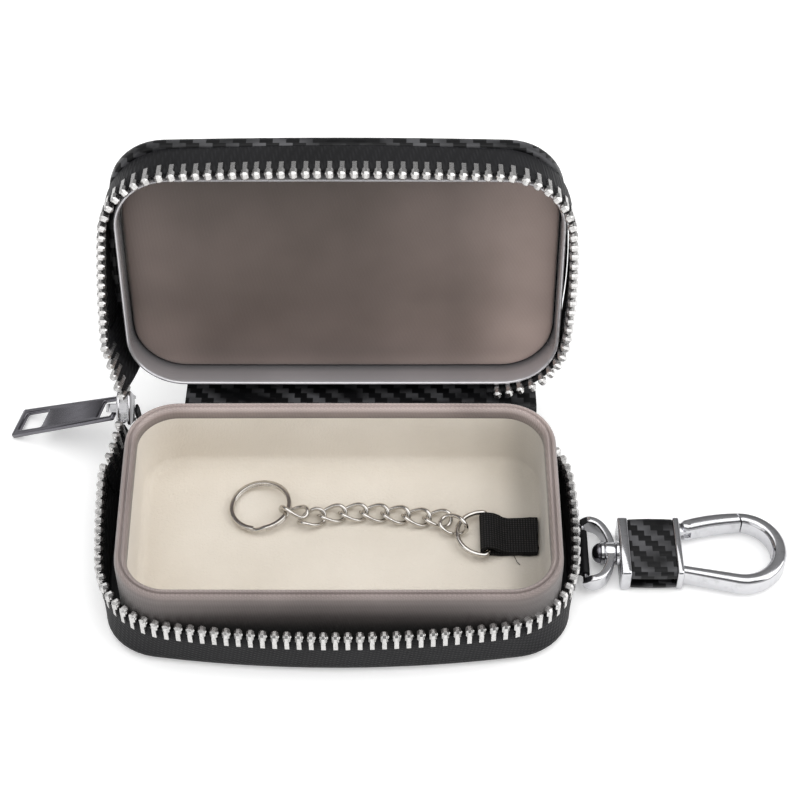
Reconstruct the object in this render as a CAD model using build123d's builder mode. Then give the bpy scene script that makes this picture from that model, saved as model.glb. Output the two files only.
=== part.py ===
from build123d import *
import os
from math import asin, copysign, cos, degrees, hypot, radians, sin, sqrt, tau

os.makedirs("parts", exist_ok=True)

# All sizes are in mm. X runs along the hinge, Y to the back and Z up.
# The origin is the middle of the flat underside. The lid stands open.

# Shell
shell_half_length = 57.5
shell_half_depth = 34.5
shell_side_radius = 140.0
shell_front_radius = 1500.0
shell_corner = 15.5
shell_rim = 3.0
shell_skin = 1.2
shell_edge_bevel = 1.6
glue_gap = 0.02

# Layers under the tray
board_thick = 0.8
board_inset = 2.5
shield_thick = 0.3
case_height = 30.9

# Tray
tray_side_gap = 5.5
tray_front_gap = 4.9
tray_half_length = shell_half_length - tray_side_gap
tray_half_depth = shell_half_depth - tray_front_gap
tray_corner = 12.5
tray_rim_height = 23.65
tray_wall = 2.8
tray_rim_bevel = 0.8
tray_floor_skin = 1.0
felt_thick = 0.6
felt_below_rim = 3.6

# Zip
mesh_height = 15.1
row_overhang = 0.1
row_inset = 0.5
row_half_length = shell_half_length + row_overhang
row_half_depth = shell_half_depth - row_inset
row_side_radius = 80.0
row_front_radius = 500.0
row_corner = 16.0
row_pitch = 2.8
row_left_cut = 16.0
row_right_cut = 10.6
row_left_end = row_half_depth - row_left_cut
row_right_end = row_half_length - row_right_cut
tape_thick = 0.6
tooth_width = 1.1
tooth_half_thick = 0.85
tooth_leg = 5.5
tooth_crotch = 2.2
tooth_tip = 0.6
tooth_gap = 0.05

# Lid
hinge_gap = 1.0
hinge_y = shell_half_depth + hinge_gap
hinge_z = 14.0
lid_opening = 98.3
frame_gap = 0.4
frame_wall = 1.2
frame_rim_height = 17.8
frame_recess = 6.1
frame_bevel = 0.35
panel_thick = 2.0
panel_gap = 0.25
panel_bevel = 0.9
lid_board_thick = 1.0

# Hinge strip
strip_left_cut = 17.5
strip_right_cut = 9.0
strip_left = strip_left_cut - shell_half_length
strip_right = shell_half_length - strip_right_cut
strip_thick = 1.1
strip_clear = 0.9

# Key chain
link_half_length = 3.35
link_half_width = 2.25
link_wire = 1.05
link_twist = 45.0
link_squareness = 2.35
link_steps = 8
wire_sides = 8
link_height = 5.42
d_ring_wire = 1.25
d_ring_bar_x = 35.3
d_ring_bar_length = 13.0
d_ring_depth = 7.3
d_ring_y = 2.2
d_ring_height = 5.85
d_ring_tilt = 3.1
key_ring_x = -20.2
key_ring_y = 10.8
key_ring_height = 5.76
key_ring_radius = 7.15
key_ring_band = 1.3
key_ring_coil = 0.72
key_ring_tilt = 6.1

# Strap
strap_width = 11.2
strap_thick = 0.85
strap_end_x = 47.6
loop_clear = 0.3

# Outer ring, swivel and clip
clip_y = -2.1
clip_z = 3.75
bar_radius = 0.65
bar_clear = 0.1
tab_leather = 0.4
tab_gap = 0.11
tab_outer = bar_radius + bar_clear + tab_leather
bar_x = shell_half_length + tab_gap + tab_outer
tab_width = 13.0
ring_middle_gap = 1.14
ring_middle_x = bar_x + ring_middle_gap
ring_half_depth = 6.4
ring_half_width = 9.85
ring_corner = 5.0
ring_bevel = 0.35
ring_band = 1.55
ring_height = 4.5
ring_taper = 2.0
rivet_radius = 1.5
rivet_head_radius = 2.45
rivet_head_height = 2.1
running_clear = 0.05
washer_radius = 3.0
washer_thick = 0.75
boss_radius = 2.8
boss_inset = 1.1
flange_half_width = 8.7
collar_gap = 0.15
collar_length = 0.65
block_length = 15.05
flange_left = 2.5
flange_right = 1.6
block_half_height = 3.5
wrap_thick = 0.9
bow_half_height = 2.7
bow_reach = 14.8
bow_radius = 10.8
bow_root = 7.6
bow_bevel = 0.7
hole_reach = 14.4
hole_radius = 7.7
hole_root = 5.2
seam_lean = 1.0
seam_step = 10.5
core_height = 2.6
core_inset = 2.0
core_shift = 0.4
lug_height = 1.6
lug_width = 3.0
gate_pin_reach = 2.5
gate_pin_side = 7.2
gate_pin_radius = 0.7
gate_seam = 0.35

# Slider and pull tab
slider_at = (3.7 - shell_half_length, shell_half_depth - 0.6, mesh_height + 0.9)
slider_mouth_way = (-0.22, -0.64, 0.74)
slider_face_way = (-0.97, 0.15, -0.16)
slider_length = 10.5
slider_mouth = 8.6
slider_tail = 6.4
slider_plate = 0.8
slider_channel = 2.7
tail_width = 6.0
bridge_width = 2.2
bridge_length = 6.0
bridge_rise = 2.5
bridge_strip = 0.8
pin_rise = 1.2
tab_out_way = (-0.969, 0.247, 0)
tab_length = 31.9
tab_inner_width = 7.8
tab_outer_width = 9.4
tab_thick = 1.25
tab_drop = 28.8
tab_eye_bar = 1.0
tab_eye_length = 4.2
tab_eye_width = 5.8


def bowed_outline(half_length, half_depth, side_radius, front_radius, corner, grow=0.0):
    """Four slightly bowed sides and four round corners, all tangent, grown by a set amount."""
    side_centre = Vector(half_length - side_radius, 0)
    front_centre = Vector(0, half_depth - front_radius)
    side_reach = side_radius - corner
    front_reach = front_radius - corner
    apart = (front_centre - side_centre).length
    toward = (front_centre - side_centre) / apart
    along = (side_reach**2 - front_reach**2 + apart**2) / (2 * apart)
    off = sqrt(side_reach**2 - along**2)
    corner_centre = side_centre + toward * along + Vector(-toward.Y, toward.X) * off
    side_way = (corner_centre - side_centre).normalized()
    front_way = (corner_centre - front_centre).normalized()
    corner_way = (side_way + front_way).normalized()
    side_end = side_centre + side_way * (side_radius + grow)
    front_end = front_centre + front_way * (front_radius + grow)
    corner_mid = corner_centre + corner_way * (corner + grow)
    with BuildSketch(mode=Mode.PRIVATE) as outline:
        with BuildLine():
            for end in (1, -1):
                ThreePointArc(
                    (end * side_end.X, -side_end.Y),
                    (end * (half_length + grow), 0),
                    (end * side_end.X, side_end.Y),
                )
                for side in (1, -1):
                    ThreePointArc(
                        (end * side_end.X, side * side_end.Y),
                        (end * corner_mid.X, side * corner_mid.Y),
                        (end * front_end.X, side * front_end.Y),
                    )
            for side in (1, -1):
                ThreePointArc(
                    (front_end.X, side * front_end.Y),
                    (0, side * (half_depth + grow)),
                    (-front_end.X, side * front_end.Y),
                )
        make_face()
    return outline.sketch


def shell_outline(grow=0.0):
    """The outline of the case, or one grown from it."""
    return bowed_outline(
        shell_half_length,
        shell_half_depth,
        shell_side_radius,
        shell_front_radius,
        shell_corner,
        grow,
    )


def row_outline(grow=0.0):
    """The line that the zip follows, or one grown from it."""
    return bowed_outline(
        row_half_length, row_half_depth, row_side_radius, row_front_radius, row_corner, grow
    )


def lid_level(height):
    """The plane, in the open lid, of what lies at this height when the lid is shut."""
    turn = radians(lid_opening)
    back = -hinge_y * cos(turn) + (height - hinge_z) * sin(turn)
    up = hinge_y * sin(turn) + (height - hinge_z) * cos(turn)
    return Plane(
        origin=(0, hinge_y + back, hinge_z + up),
        x_dir=(1, 0, 0),
        z_dir=(0, sin(turn), cos(turn)),
    )


shield_bottom = shell_skin + board_thick
tray_bottom = shield_bottom + shield_thick
floor_height = tray_bottom + tray_floor_skin + felt_thick
lid_axis = Axis(origin=(0, hinge_y, hinge_z), direction=lid_level(0).z_dir)


# Base, from the table up

with BuildPart() as base_shell:
    with BuildSketch():
        add(shell_outline())
    extrude(amount=shell_rim)
    chamfer(base_shell.faces().sort_by(Axis.Z)[0].edges(), shell_edge_bevel)
    with BuildSketch(Plane.XY.offset(shell_skin)):
        add(shell_outline(-shell_skin))
    extrude(amount=shell_rim, mode=Mode.SUBTRACT)
base_shell.part.label = "base_shell"
export_step(base_shell.part, "parts/base_shell.step")

with BuildPart() as base_board:
    with BuildSketch(Plane.XY.offset(shell_skin + glue_gap)):
        add(shell_outline(-shell_skin - board_inset))
    extrude(amount=board_thick - 2 * glue_gap)
base_board.part.label = "base_board"
export_step(base_board.part, "parts/base_board.step")

with BuildPart() as base_shield:
    with BuildSketch(Plane.XY.offset(shield_bottom)):
        add(shell_outline(-shell_skin - glue_gap))
    extrude(amount=shell_rim - shield_bottom)
    with BuildSketch(Plane.XY.offset(shield_bottom + shield_thick - glue_gap)):
        add(shell_outline(-shell_skin - glue_gap - shield_thick))
    extrude(amount=shell_rim, mode=Mode.SUBTRACT)
base_shield.part.label = "base_shield"
export_step(base_shield.part, "parts/base_shield.step")

with BuildPart() as tray_frame:
    with BuildSketch(Plane.XY.offset(tray_bottom)):
        RectangleRounded(2 * tray_half_length, 2 * tray_half_depth, tray_corner)
    extrude(amount=tray_rim_height - tray_bottom)
    with BuildSketch(Plane.XY.offset(tray_bottom + tray_floor_skin)):
        RectangleRounded(
            2 * (tray_half_length - tray_wall),
            2 * (tray_half_depth - tray_wall),
            tray_corner - tray_wall,
        )
    extrude(amount=tray_rim_height, mode=Mode.SUBTRACT)
    chamfer(tray_frame.faces().sort_by(Axis.Z)[-1].edges(), tray_rim_bevel)
    with BuildSketch(Plane.XY.offset(tray_bottom + tray_floor_skin)):
        RectangleRounded(
            2 * (tray_half_length - tray_wall + felt_thick),
            2 * (tray_half_depth - tray_wall + felt_thick),
            tray_corner - tray_wall + felt_thick,
        )
    extrude(
        amount=tray_rim_height - felt_below_rim - tray_bottom - tray_floor_skin,
        mode=Mode.SUBTRACT,
    )
tray_frame.part.label = "tray_frame"
export_step(tray_frame.part, "parts/tray_frame.step")

with BuildPart() as tray_lining:
    with BuildSketch(Plane.XY.offset(tray_bottom + tray_floor_skin + glue_gap)):
        RectangleRounded(
            2 * (tray_half_length - tray_wall + felt_thick - glue_gap),
            2 * (tray_half_depth - tray_wall + felt_thick - glue_gap),
            tray_corner - tray_wall + felt_thick - glue_gap,
        )
    extrude(
        amount=tray_rim_height - felt_below_rim - tray_bottom - tray_floor_skin - 2 * glue_gap
    )
    with BuildSketch(Plane.XY.offset(floor_height)):
        RectangleRounded(
            2 * (tray_half_length - tray_wall),
            2 * (tray_half_depth - tray_wall),
            tray_corner - tray_wall,
        )
    extrude(amount=tray_rim_height, mode=Mode.SUBTRACT)
tray_lining.part.label = "tray_lining"
export_step(tray_lining.part, "parts/tray_lining.step")


# Zip: one row of teeth and one tape on each half, which mesh when the lid is shut

with BuildPart() as tooth:
    with BuildSketch():
        with BuildLine():
            inner = tape_thick / 2 + tooth_gap
            Polyline(
                (inner, -tooth_leg),
                (tooth_half_thick, -tooth_leg),
                (tooth_half_thick, -tooth_tip),
                (tooth_half_thick / 2, tooth_tip),
                (-tooth_half_thick / 2, tooth_tip),
                (-tooth_half_thick, -tooth_tip),
                (-tooth_half_thick, -tooth_leg),
                (-inner, -tooth_leg),
                (-inner, -tooth_crotch),
                (inner, -tooth_crotch),
                close=True,
            )
        make_face()
    extrude(amount=tooth_width / 2, both=True)


def row_places(shift, downward):
    """Where the teeth of one row stand, head towards the other row."""
    path = row_outline().wires()[0]
    steps = int(path.length / row_pitch)
    places = []
    for step in range(steps):
        along = (step + shift) * row_pitch / path.length
        point = path @ along
        if point.Y > row_left_end and point.X < row_right_end:
            continue
        way = path % along
        outward = Vector(point.X, point.Y, 0).normalized()
        side = way.cross(Vector(0, 0, 1))
        if side.dot(outward) < 0:
            side = -side
        rise = Vector(0, 0, -1 if downward else 1)
        frame = Plane(
            origin=(point.X, point.Y, mesh_height), x_dir=side, z_dir=side.cross(rise)
        )
        places.append(frame.location)
    return places


# The back of each tape is left out, where the case has its hinge and its slider
cut_left = -1.4 * row_half_length
cut_depth = 1.2 * row_half_depth
back_cut = Location(((row_right_end + cut_left) / 2, row_left_end + 1 + cut_depth / 2, 0))
back_cut_size = (row_right_end - cut_left, cut_depth, 4 * case_height)

with BuildPart() as base_zip_teeth:
    with Locations(*row_places(0.0, False)):
        add(tooth.part)
base_zip_teeth.part.label = "base_zip_teeth"
export_step(base_zip_teeth.part, "parts/base_zip_teeth.step")

with BuildPart() as lid_zip_teeth:
    with Locations(*[lid_level(0).location * place for place in row_places(0.5, True)]):
        add(tooth.part)
lid_zip_teeth.part.label = "lid_zip_teeth"
export_step(lid_zip_teeth.part, "parts/lid_zip_teeth.step")

tape_low = shell_rim + glue_gap
tape_high = mesh_height - tooth_crotch - tooth_gap
lid_rim = 2 * mesh_height - shell_rim

with BuildPart() as base_zip_tape:
    with BuildSketch(Plane.XY.offset(tape_low)):
        add(row_outline(tape_thick / 2))
        add(row_outline(-tape_thick / 2), mode=Mode.SUBTRACT)
    extrude(amount=tape_high - tape_low)
    with Locations(back_cut):
        Box(*back_cut_size, mode=Mode.SUBTRACT)
    with Locations((shell_half_length, clip_y, clip_z)):
        Box(8, tab_width + 0.4, 2 * tab_outer + 0.2, mode=Mode.SUBTRACT)
base_zip_tape.part.label = "base_zip_tape"
export_step(base_zip_tape.part, "parts/base_zip_tape.step")

with BuildPart() as lid_zip_tape:
    with BuildSketch(lid_level(2 * mesh_height - tape_high)):
        add(row_outline(tape_thick / 2))
        add(row_outline(-tape_thick / 2), mode=Mode.SUBTRACT)
    extrude(amount=tape_high - tape_low)
    with Locations(lid_level(0).location * back_cut):
        Box(*back_cut_size, mode=Mode.SUBTRACT)
lid_zip_tape.part.label = "lid_zip_tape"
export_step(lid_zip_tape.part, "parts/lid_zip_tape.step")


# Lid, from its outer skin inwards

lid_top = lid_rim + shell_rim
panel_height = frame_rim_height + frame_recess
frame_half_length = tray_half_length + frame_gap
frame_half_depth = tray_half_depth + frame_gap
frame_corner = tray_corner + frame_gap

with BuildPart() as lid_shell:
    with BuildSketch(lid_level(lid_rim)):
        add(shell_outline())
    extrude(amount=shell_rim)
    chamfer(lid_shell.faces().sort_by(lid_axis)[-1].edges(), shell_edge_bevel)
    with BuildSketch(lid_level(lid_rim)):
        add(shell_outline(-shell_skin))
    extrude(amount=shell_rim - shell_skin, mode=Mode.SUBTRACT)
lid_shell.part.label = "lid_shell"
export_step(lid_shell.part, "parts/lid_shell.step")

board_bottom = panel_height + panel_thick
shield_level = lid_top - shell_skin - shield_thick

with BuildPart() as lid_shield:
    with BuildSketch(lid_level(lid_rim)):
        add(shell_outline(-shell_skin - glue_gap))
    extrude(amount=shell_rim - shell_skin - glue_gap)
    with BuildSketch(lid_level(lid_rim)):
        add(shell_outline(-shell_skin - glue_gap - shield_thick))
    extrude(amount=shell_rim - shell_skin - shield_thick, mode=Mode.SUBTRACT)
lid_shield.part.label = "lid_shield"
export_step(lid_shield.part, "parts/lid_shield.step")

with BuildPart() as lid_frame:
    with BuildSketch(lid_level(frame_rim_height)):
        RectangleRounded(
            2 * (frame_half_length + frame_wall),
            2 * (frame_half_depth + frame_wall),
            frame_corner + frame_wall,
        )
        RectangleRounded(
            2 * frame_half_length, 2 * frame_half_depth, frame_corner, mode=Mode.SUBTRACT
        )
    extrude(amount=shield_level - glue_gap - frame_rim_height)
    chamfer(lid_frame.faces().sort_by(lid_axis)[0].edges(), frame_bevel)
lid_frame.part.label = "lid_frame"
export_step(lid_frame.part, "parts/lid_frame.step")

with BuildPart() as lid_panel:
    with BuildSketch(lid_level(panel_height)):
        RectangleRounded(
            2 * (frame_half_length - panel_gap),
            2 * (frame_half_depth - panel_gap),
            frame_corner - panel_gap,
        )
    extrude(amount=panel_thick)
    chamfer(lid_panel.faces().sort_by(lid_axis)[0].edges(), panel_bevel)
lid_panel.part.label = "lid_panel"
export_step(lid_panel.part, "parts/lid_panel.step")

with BuildPart() as lid_board:
    with BuildSketch(lid_level(board_bottom + glue_gap)):
        RectangleRounded(
            2 * (frame_half_length - glue_gap),
            2 * (frame_half_depth - glue_gap),
            frame_corner - glue_gap,
        )
    extrude(amount=lid_board_thick)
lid_board.part.label = "lid_board"
export_step(lid_board.part, "parts/lid_board.step")

with BuildPart() as lid_padding:
    with BuildSketch(lid_level(board_bottom + lid_board_thick + 2 * glue_gap)):
        RectangleRounded(
            2 * (frame_half_length - glue_gap),
            2 * (frame_half_depth - glue_gap),
            frame_corner - glue_gap,
        )
    extrude(amount=shield_level - board_bottom - lid_board_thick - 3 * glue_gap)
lid_padding.part.label = "lid_padding"
export_step(lid_padding.part, "parts/lid_padding.step")


# Hinge: a leather strip along the back, in two halves that part at the bend

strip_middle = (strip_left + strip_right) / 2
strip_length = strip_right - strip_left
strip_y = shell_half_depth + glue_gap + strip_thick / 2
strip_foot = shell_edge_bevel + 0.4

with BuildPart() as hinge_strip_lower:
    with BuildSketch(Plane.XY.offset(strip_foot)):
        with Locations((strip_middle, strip_y)):
            Rectangle(strip_length, strip_thick)
    extrude(amount=hinge_z - strip_clear - strip_foot)
hinge_strip_lower.part.label = "hinge_strip_lower"
export_step(hinge_strip_lower.part, "parts/hinge_strip_lower.step")

with BuildPart() as hinge_strip_upper:
    with BuildSketch(lid_level(hinge_z + strip_clear)):
        with Locations((strip_middle, strip_y)):
            Rectangle(strip_length, strip_thick)
    extrude(amount=lid_top - strip_foot - hinge_z - strip_clear)
hinge_strip_upper.part.label = "hinge_strip_upper"
export_step(hinge_strip_upper.part, "parts/hinge_strip_upper.step")


# Key chain in the tray: strap, D ring, nine curb links and the split ring

strap_mid = d_ring_height
loop_inner = d_ring_wire / 2 + loop_clear
loop_outer = loop_inner + strap_thick
strap_low = floor_height + glue_gap

with BuildPart() as webbing_strap:
    with BuildSketch(Plane.XZ.offset(-d_ring_y)):
        with Locations((d_ring_bar_x, strap_mid)):
            Circle(loop_outer)
        with BuildLine():
            Polyline(
                (d_ring_bar_x, strap_mid + loop_outer),
                (d_ring_bar_x + 3.5, strap_low + 2 * strap_thick),
                (strap_end_x, strap_low + 2 * strap_thick),
                (strap_end_x, strap_low),
                (d_ring_bar_x, strap_low),
                (d_ring_bar_x, strap_mid),
                close=True,
            )
        make_face()
        with Locations((d_ring_bar_x, strap_mid)):
            Circle(loop_inner, mode=Mode.SUBTRACT)
    extrude(amount=strap_width / 2, both=True)
webbing_strap.part.label = "webbing_strap"
export_step(webbing_strap.part, "parts/webbing_strap.step")

d_ring_plane = Plane(
    origin=(d_ring_bar_x, d_ring_y, d_ring_height),
    x_dir=(cos(radians(d_ring_tilt)), 0, -sin(radians(d_ring_tilt))),
    z_dir=(sin(radians(d_ring_tilt)), 0, cos(radians(d_ring_tilt))),
)

with BuildPart() as inner_d_ring:
    with BuildLine(d_ring_plane) as d_path:
        half_bar = d_ring_bar_length / 2
        Line((0, -half_bar), (0, half_bar))
        ThreePointArc((0, half_bar), (-d_ring_depth, 0), (0, -half_bar))
        fillet(d_path.vertices(), 0.9)
    with BuildSketch(Plane(origin=d_path.wire() @ 0, z_dir=d_path.wire() % 0)):
        RegularPolygon(d_ring_wire / 2, wire_sides)
    sweep(path=d_path.wire())
inner_d_ring.part.label = "inner_d_ring"
export_step(inner_d_ring.part, "parts/inner_d_ring.step")

# Where each link lies, from the D ring to the split ring: its middle, heading and roll
link_places = [
    ((27.2, 4.43, 6.54), -20.1, 39.4),
    ((23.33, 7.2, link_height), -2.2, 0),
    ((18.18, 7.7, link_height), -8.8, 0),
    ((13.03, 8.45, link_height), -7.7, 0),
    ((7.85, 8.98, link_height), -3.9, 0),
    ((2.65, 9.08, link_height), 1.7, 0),
    ((-2.53, 8.6, link_height), 8.8, 0),
    ((-7.5, 7.23, link_height), 22.1, 0),
    ((-11.87, 8.66, 6.62), -10.1, -36.1),
]


def link_point(turn):
    """A point on the middle line of a curb link, which is an oval twisted along its length."""
    along = copysign(abs(cos(turn)) ** (2 / link_squareness), cos(turn))
    across = copysign(abs(sin(turn)) ** (2 / link_squareness), sin(turn))
    roll = radians(link_twist) * along
    return (
        link_half_length * along,
        link_half_width * across * cos(roll),
        link_half_width * across * sin(roll),
    )


def link_half(start):
    """Half a link, from one turn to the turn opposite."""
    turns = [start + tau / 2 * step / link_steps for step in range(link_steps + 1)]
    with BuildPart(mode=Mode.PRIVATE) as half:
        with BuildLine() as path:
            Polyline(*[link_point(turn) for turn in turns])
        with BuildSketch(Plane(origin=path.line @ 0, z_dir=path.line % 0)):
            RegularPolygon(link_wire / 2, wire_sides)
        sweep(path=path.line, transition=Transition.RIGHT)
    return half.part


with BuildPart() as curb_link:
    add(link_half(tau / 4))
    add(link_half(3 * tau / 4))

for number, (middle, heading, roll) in enumerate(link_places, 1):
    with BuildPart() as chain_link:
        with Locations(Location(middle, (0, 0, heading)) * Location((0, 0, 0), (roll, 0, 0))):
            add(curb_link.part)
    chain_link.part.label = f"chain_link_{number}"
    export_step(chain_link.part, f"parts/chain_link_{number}.step")

ring_turn = Plane(
    origin=(key_ring_x, key_ring_y, key_ring_height),
    x_dir=(cos(radians(key_ring_tilt)), 0, sin(radians(key_ring_tilt))),
    z_dir=(-sin(radians(key_ring_tilt)), 0, cos(radians(key_ring_tilt))),
)
ring_side = Plane(origin=ring_turn.origin, x_dir=ring_turn.x_dir, z_dir=(0, 1, 0))

with BuildPart() as key_ring:
    with BuildSketch(ring_side):
        with Locations((key_ring_radius, key_ring_coil / 2)):
            Rectangle(key_ring_band, key_ring_coil + 0.02)
        with Locations((key_ring_radius, -key_ring_coil / 2)):
            Rectangle(key_ring_band, key_ring_coil + 0.02)
    revolve(axis=Axis(origin=ring_turn.origin, direction=ring_turn.z_dir))
key_ring.part.label = "key_ring"
export_step(key_ring.part, "parts/key_ring.step")


# Outer ring on its leather tab, and the swivel clip

ring_front_x = ring_middle_x + ring_half_depth
ring_inner_x = ring_front_x - ring_band
boss_inner_x = ring_inner_x - boss_inset
boss_outer_x = ring_front_x + 0.05
block_x = boss_outer_x + collar_gap + collar_length
tab_root = shell_half_length - shell_skin - 1.0

with BuildPart() as side_tab:
    with BuildSketch(Plane.XZ.offset(-clip_y)):
        with Locations((bar_x, clip_z)):
            Circle(tab_outer)
        with Locations(((tab_root + bar_x) / 2, clip_z)):
            Rectangle(bar_x - tab_root, 2 * tab_leather)
        with Locations((bar_x, clip_z)):
            Circle(bar_radius + bar_clear, mode=Mode.SUBTRACT)
    extrude(amount=tab_width / 2, both=True)
side_tab.part.label = "side_tab"
export_step(side_tab.part, "parts/side_tab.step")

ring_root_x = bar_x - bar_radius

ring_corner_y = ring_half_width - ring_corner
ring_bend = (ring_half_depth**2 + ring_corner_y**2 - ring_corner**2) / (
    2 * (ring_half_depth - ring_corner)
)


def d_outline(inset):
    """One bowed front, two round corners and a straight back where the bar sits."""
    front = ring_bend - inset
    corner = ring_corner - inset
    lean = asin(ring_corner_y / (ring_bend - ring_corner))
    root = ring_middle_x - ring_root_x
    touch = Vector(ring_half_depth - ring_bend + front * cos(lean), front * sin(lean), 0)
    middle = Vector(0, ring_corner_y, 0) + Vector(corner, 0, 0).rotate(Axis.Z, 45 + degrees(lean) / 2)
    end = Vector(-root, ring_corner_y + sqrt(corner**2 - root**2), 0)
    centre = Vector(ring_middle_x, clip_y, 0)
    low_touch, low_middle, low_end = [Vector(spot.X, -spot.Y, 0) for spot in (touch, middle, end)]
    with BuildSketch(mode=Mode.PRIVATE) as outline:
        with BuildLine():
            ThreePointArc(centre + touch, centre + middle, centre + end)
            Line(centre + end, centre + low_end)
            ThreePointArc(centre + low_end, centre + low_middle, centre + low_touch)
            ThreePointArc(
                centre + low_touch, centre + Vector(ring_half_depth - inset, 0, 0), centre + touch
            )
        make_face()
    return outline.sketch


with BuildPart() as outer_d_ring:
    with BuildSketch(Plane.XY.offset(clip_z)):
        add(d_outline(0.0))
        add(d_outline(ring_band), mode=Mode.SUBTRACT)
    extrude(amount=ring_height / 2, both=True)
    chamfer(outer_d_ring.edges().filter_by(GeomType.CIRCLE), ring_bevel)
    with BuildSketch(Plane.XZ.offset(-clip_y)):
        with BuildLine():
            Polyline(
                (ring_root_x, clip_z - bar_radius),
                (ring_root_x + ring_taper + bar_radius, clip_z - ring_height / 2),
                (ring_front_x + 1, clip_z - ring_height / 2),
                (ring_front_x + 1, clip_z + ring_height / 2),
                (ring_root_x + ring_taper + bar_radius, clip_z + ring_height / 2),
                (ring_root_x, clip_z + bar_radius),
                close=True,
            )
        make_face()
    extrude(amount=ring_half_width + 1, both=True, mode=Mode.INTERSECT)
    with Locations(Location((bar_x, clip_y, clip_z), (90, 0, 0))):
        Cylinder(bar_radius, 2 * (ring_half_width - ring_band))
    with Locations(Location(((boss_inner_x + boss_outer_x) / 2, clip_y, clip_z), (0, 90, 0))):
        Cylinder(boss_radius, boss_outer_x - boss_inner_x)
        Cylinder(rivet_radius + running_clear, 2 * ring_band, mode=Mode.SUBTRACT)
outer_d_ring.part.label = "outer_d_ring"
export_step(outer_d_ring.part, "parts/outer_d_ring.step")

head_base_x = boss_inner_x - 0.1 - washer_thick - glue_gap

with BuildPart() as swivel_washer:
    with Locations(Location((boss_inner_x - 0.1 - washer_thick / 2, clip_y, clip_z), (0, 90, 0))):
        Cylinder(washer_radius, washer_thick)
        Cylinder(rivet_radius + glue_gap, washer_thick, mode=Mode.SUBTRACT)
swivel_washer.part.label = "swivel_washer"
export_step(swivel_washer.part, "parts/swivel_washer.step")

shaft_end_x = block_x + flange_left - 0.6

with BuildPart() as swivel_rivet:
    with Locations(Location(((head_base_x + shaft_end_x) / 2, clip_y, clip_z), (0, 90, 0))):
        Cylinder(rivet_radius, shaft_end_x - head_base_x)
    with Locations(Location((head_base_x - rivet_head_height / 2, clip_y, clip_z), (0, 90, 0))):
        Cylinder(rivet_head_radius, rivet_head_height)
    chamfer(swivel_rivet.edges().sort_by(Axis.X)[0], 0.4 * rivet_head_height)
swivel_rivet.part.label = "swivel_rivet"
export_step(swivel_rivet.part, "parts/swivel_rivet.step")

block_end_x = block_x + block_length
collar_x = boss_outer_x + collar_gap
gate_pin_x = block_end_x + gate_pin_reach
gate_pin_y = clip_y + gate_pin_side
core_left = block_x + flange_left
core_right = block_end_x - flange_right

def on_circle(centre, radius, angle):
    return Vector(
        centre.X + radius * cos(radians(angle)),
        centre.Y + radius * sin(radians(angle)),
        0,
    )


def touch_point(start, centre, radius):
    """Where a line from the block touches the lower side of a circle."""
    away = centre - start
    lean = degrees(asin(radius / away.length))
    reach = sqrt(away.length**2 - radius**2)
    return start + away.normalized().rotate(Axis.Z, -lean) * reach


bow_middle = Vector(block_end_x + bow_reach, clip_y, 0)
hole_middle = Vector(block_end_x + hole_reach, clip_y, 0)
bow_start = Vector(block_end_x - 0.2, clip_y - bow_root, 0)
hole_start = Vector(block_end_x - 0.2, clip_y - hole_root, 0)
bow_touch = touch_point(bow_start, bow_middle, bow_radius)
hole_touch = touch_point(hole_start, hole_middle, hole_radius)
seam_outer = on_circle(bow_middle, bow_radius, 90 + seam_lean)
seam_inner = on_circle(hole_middle, hole_radius, 90 + seam_lean - seam_step)

with BuildPart() as bow:
    with BuildSketch(Plane.XY.offset(clip_z)):
        with BuildLine():
            Line(bow_start, bow_touch)
            ThreePointArc(bow_touch, on_circle(bow_middle, bow_radius, 0), seam_outer)
            Line(seam_outer, seam_inner)
            ThreePointArc(seam_inner, on_circle(hole_middle, hole_radius, 0), hole_touch)
            Line(hole_touch, hole_start)
            Line(hole_start, bow_start)
        make_face()
    extrude(amount=bow_half_height, both=True)
    chamfer(bow.edges().group_by(Axis.Z)[0] + bow.edges().group_by(Axis.Z)[-1], bow_bevel)

with BuildPart() as clip_frame:
    with BuildSketch(Plane.YZ.offset(block_x)):
        with Locations((clip_y, clip_z)):
            RectangleRounded(2 * flange_half_width, 2 * block_half_height, 0.8)
    extrude(amount=flange_left)
    with BuildSketch(Plane.YZ.offset(core_right)):
        with Locations((clip_y, clip_z)):
            RectangleRounded(2 * flange_half_width, 2 * block_half_height, 0.8)
    extrude(amount=flange_right)
    with BuildSketch(Plane.YZ.offset(core_left)):
        with Locations((clip_y + core_shift, clip_z)):
            Rectangle(2 * flange_half_width - 2 * core_inset, core_height)
    extrude(amount=core_right - core_left)
    with BuildSketch(Plane.YZ.offset(collar_x)):
        with Locations((clip_y, clip_z)):
            Circle(boss_radius + 0.2)
    extrude(amount=block_x - collar_x)
    add(bow.part)
    with BuildSketch(Plane.XY.offset(clip_z)):
        with Locations(((block_end_x + gate_pin_x) / 2, gate_pin_y)):
            Rectangle(gate_pin_x - block_end_x + 0.2, lug_width)
        with Locations((gate_pin_x, gate_pin_y)):
            Circle(lug_width / 2)
    extrude(amount=lug_height / 2, both=True)
    with Locations((gate_pin_x, gate_pin_y, clip_z)):
        Cylinder(gate_pin_radius + glue_gap, 2 * lug_height, mode=Mode.SUBTRACT)
    with Locations(Location((block_x, clip_y, clip_z), (0, 90, 0))):
        Cylinder(rivet_radius + glue_gap, 2 * (flange_left - 0.4), mode=Mode.SUBTRACT)
clip_frame.part.label = "clip_frame"
export_step(clip_frame.part, "parts/clip_frame.step")

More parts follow.
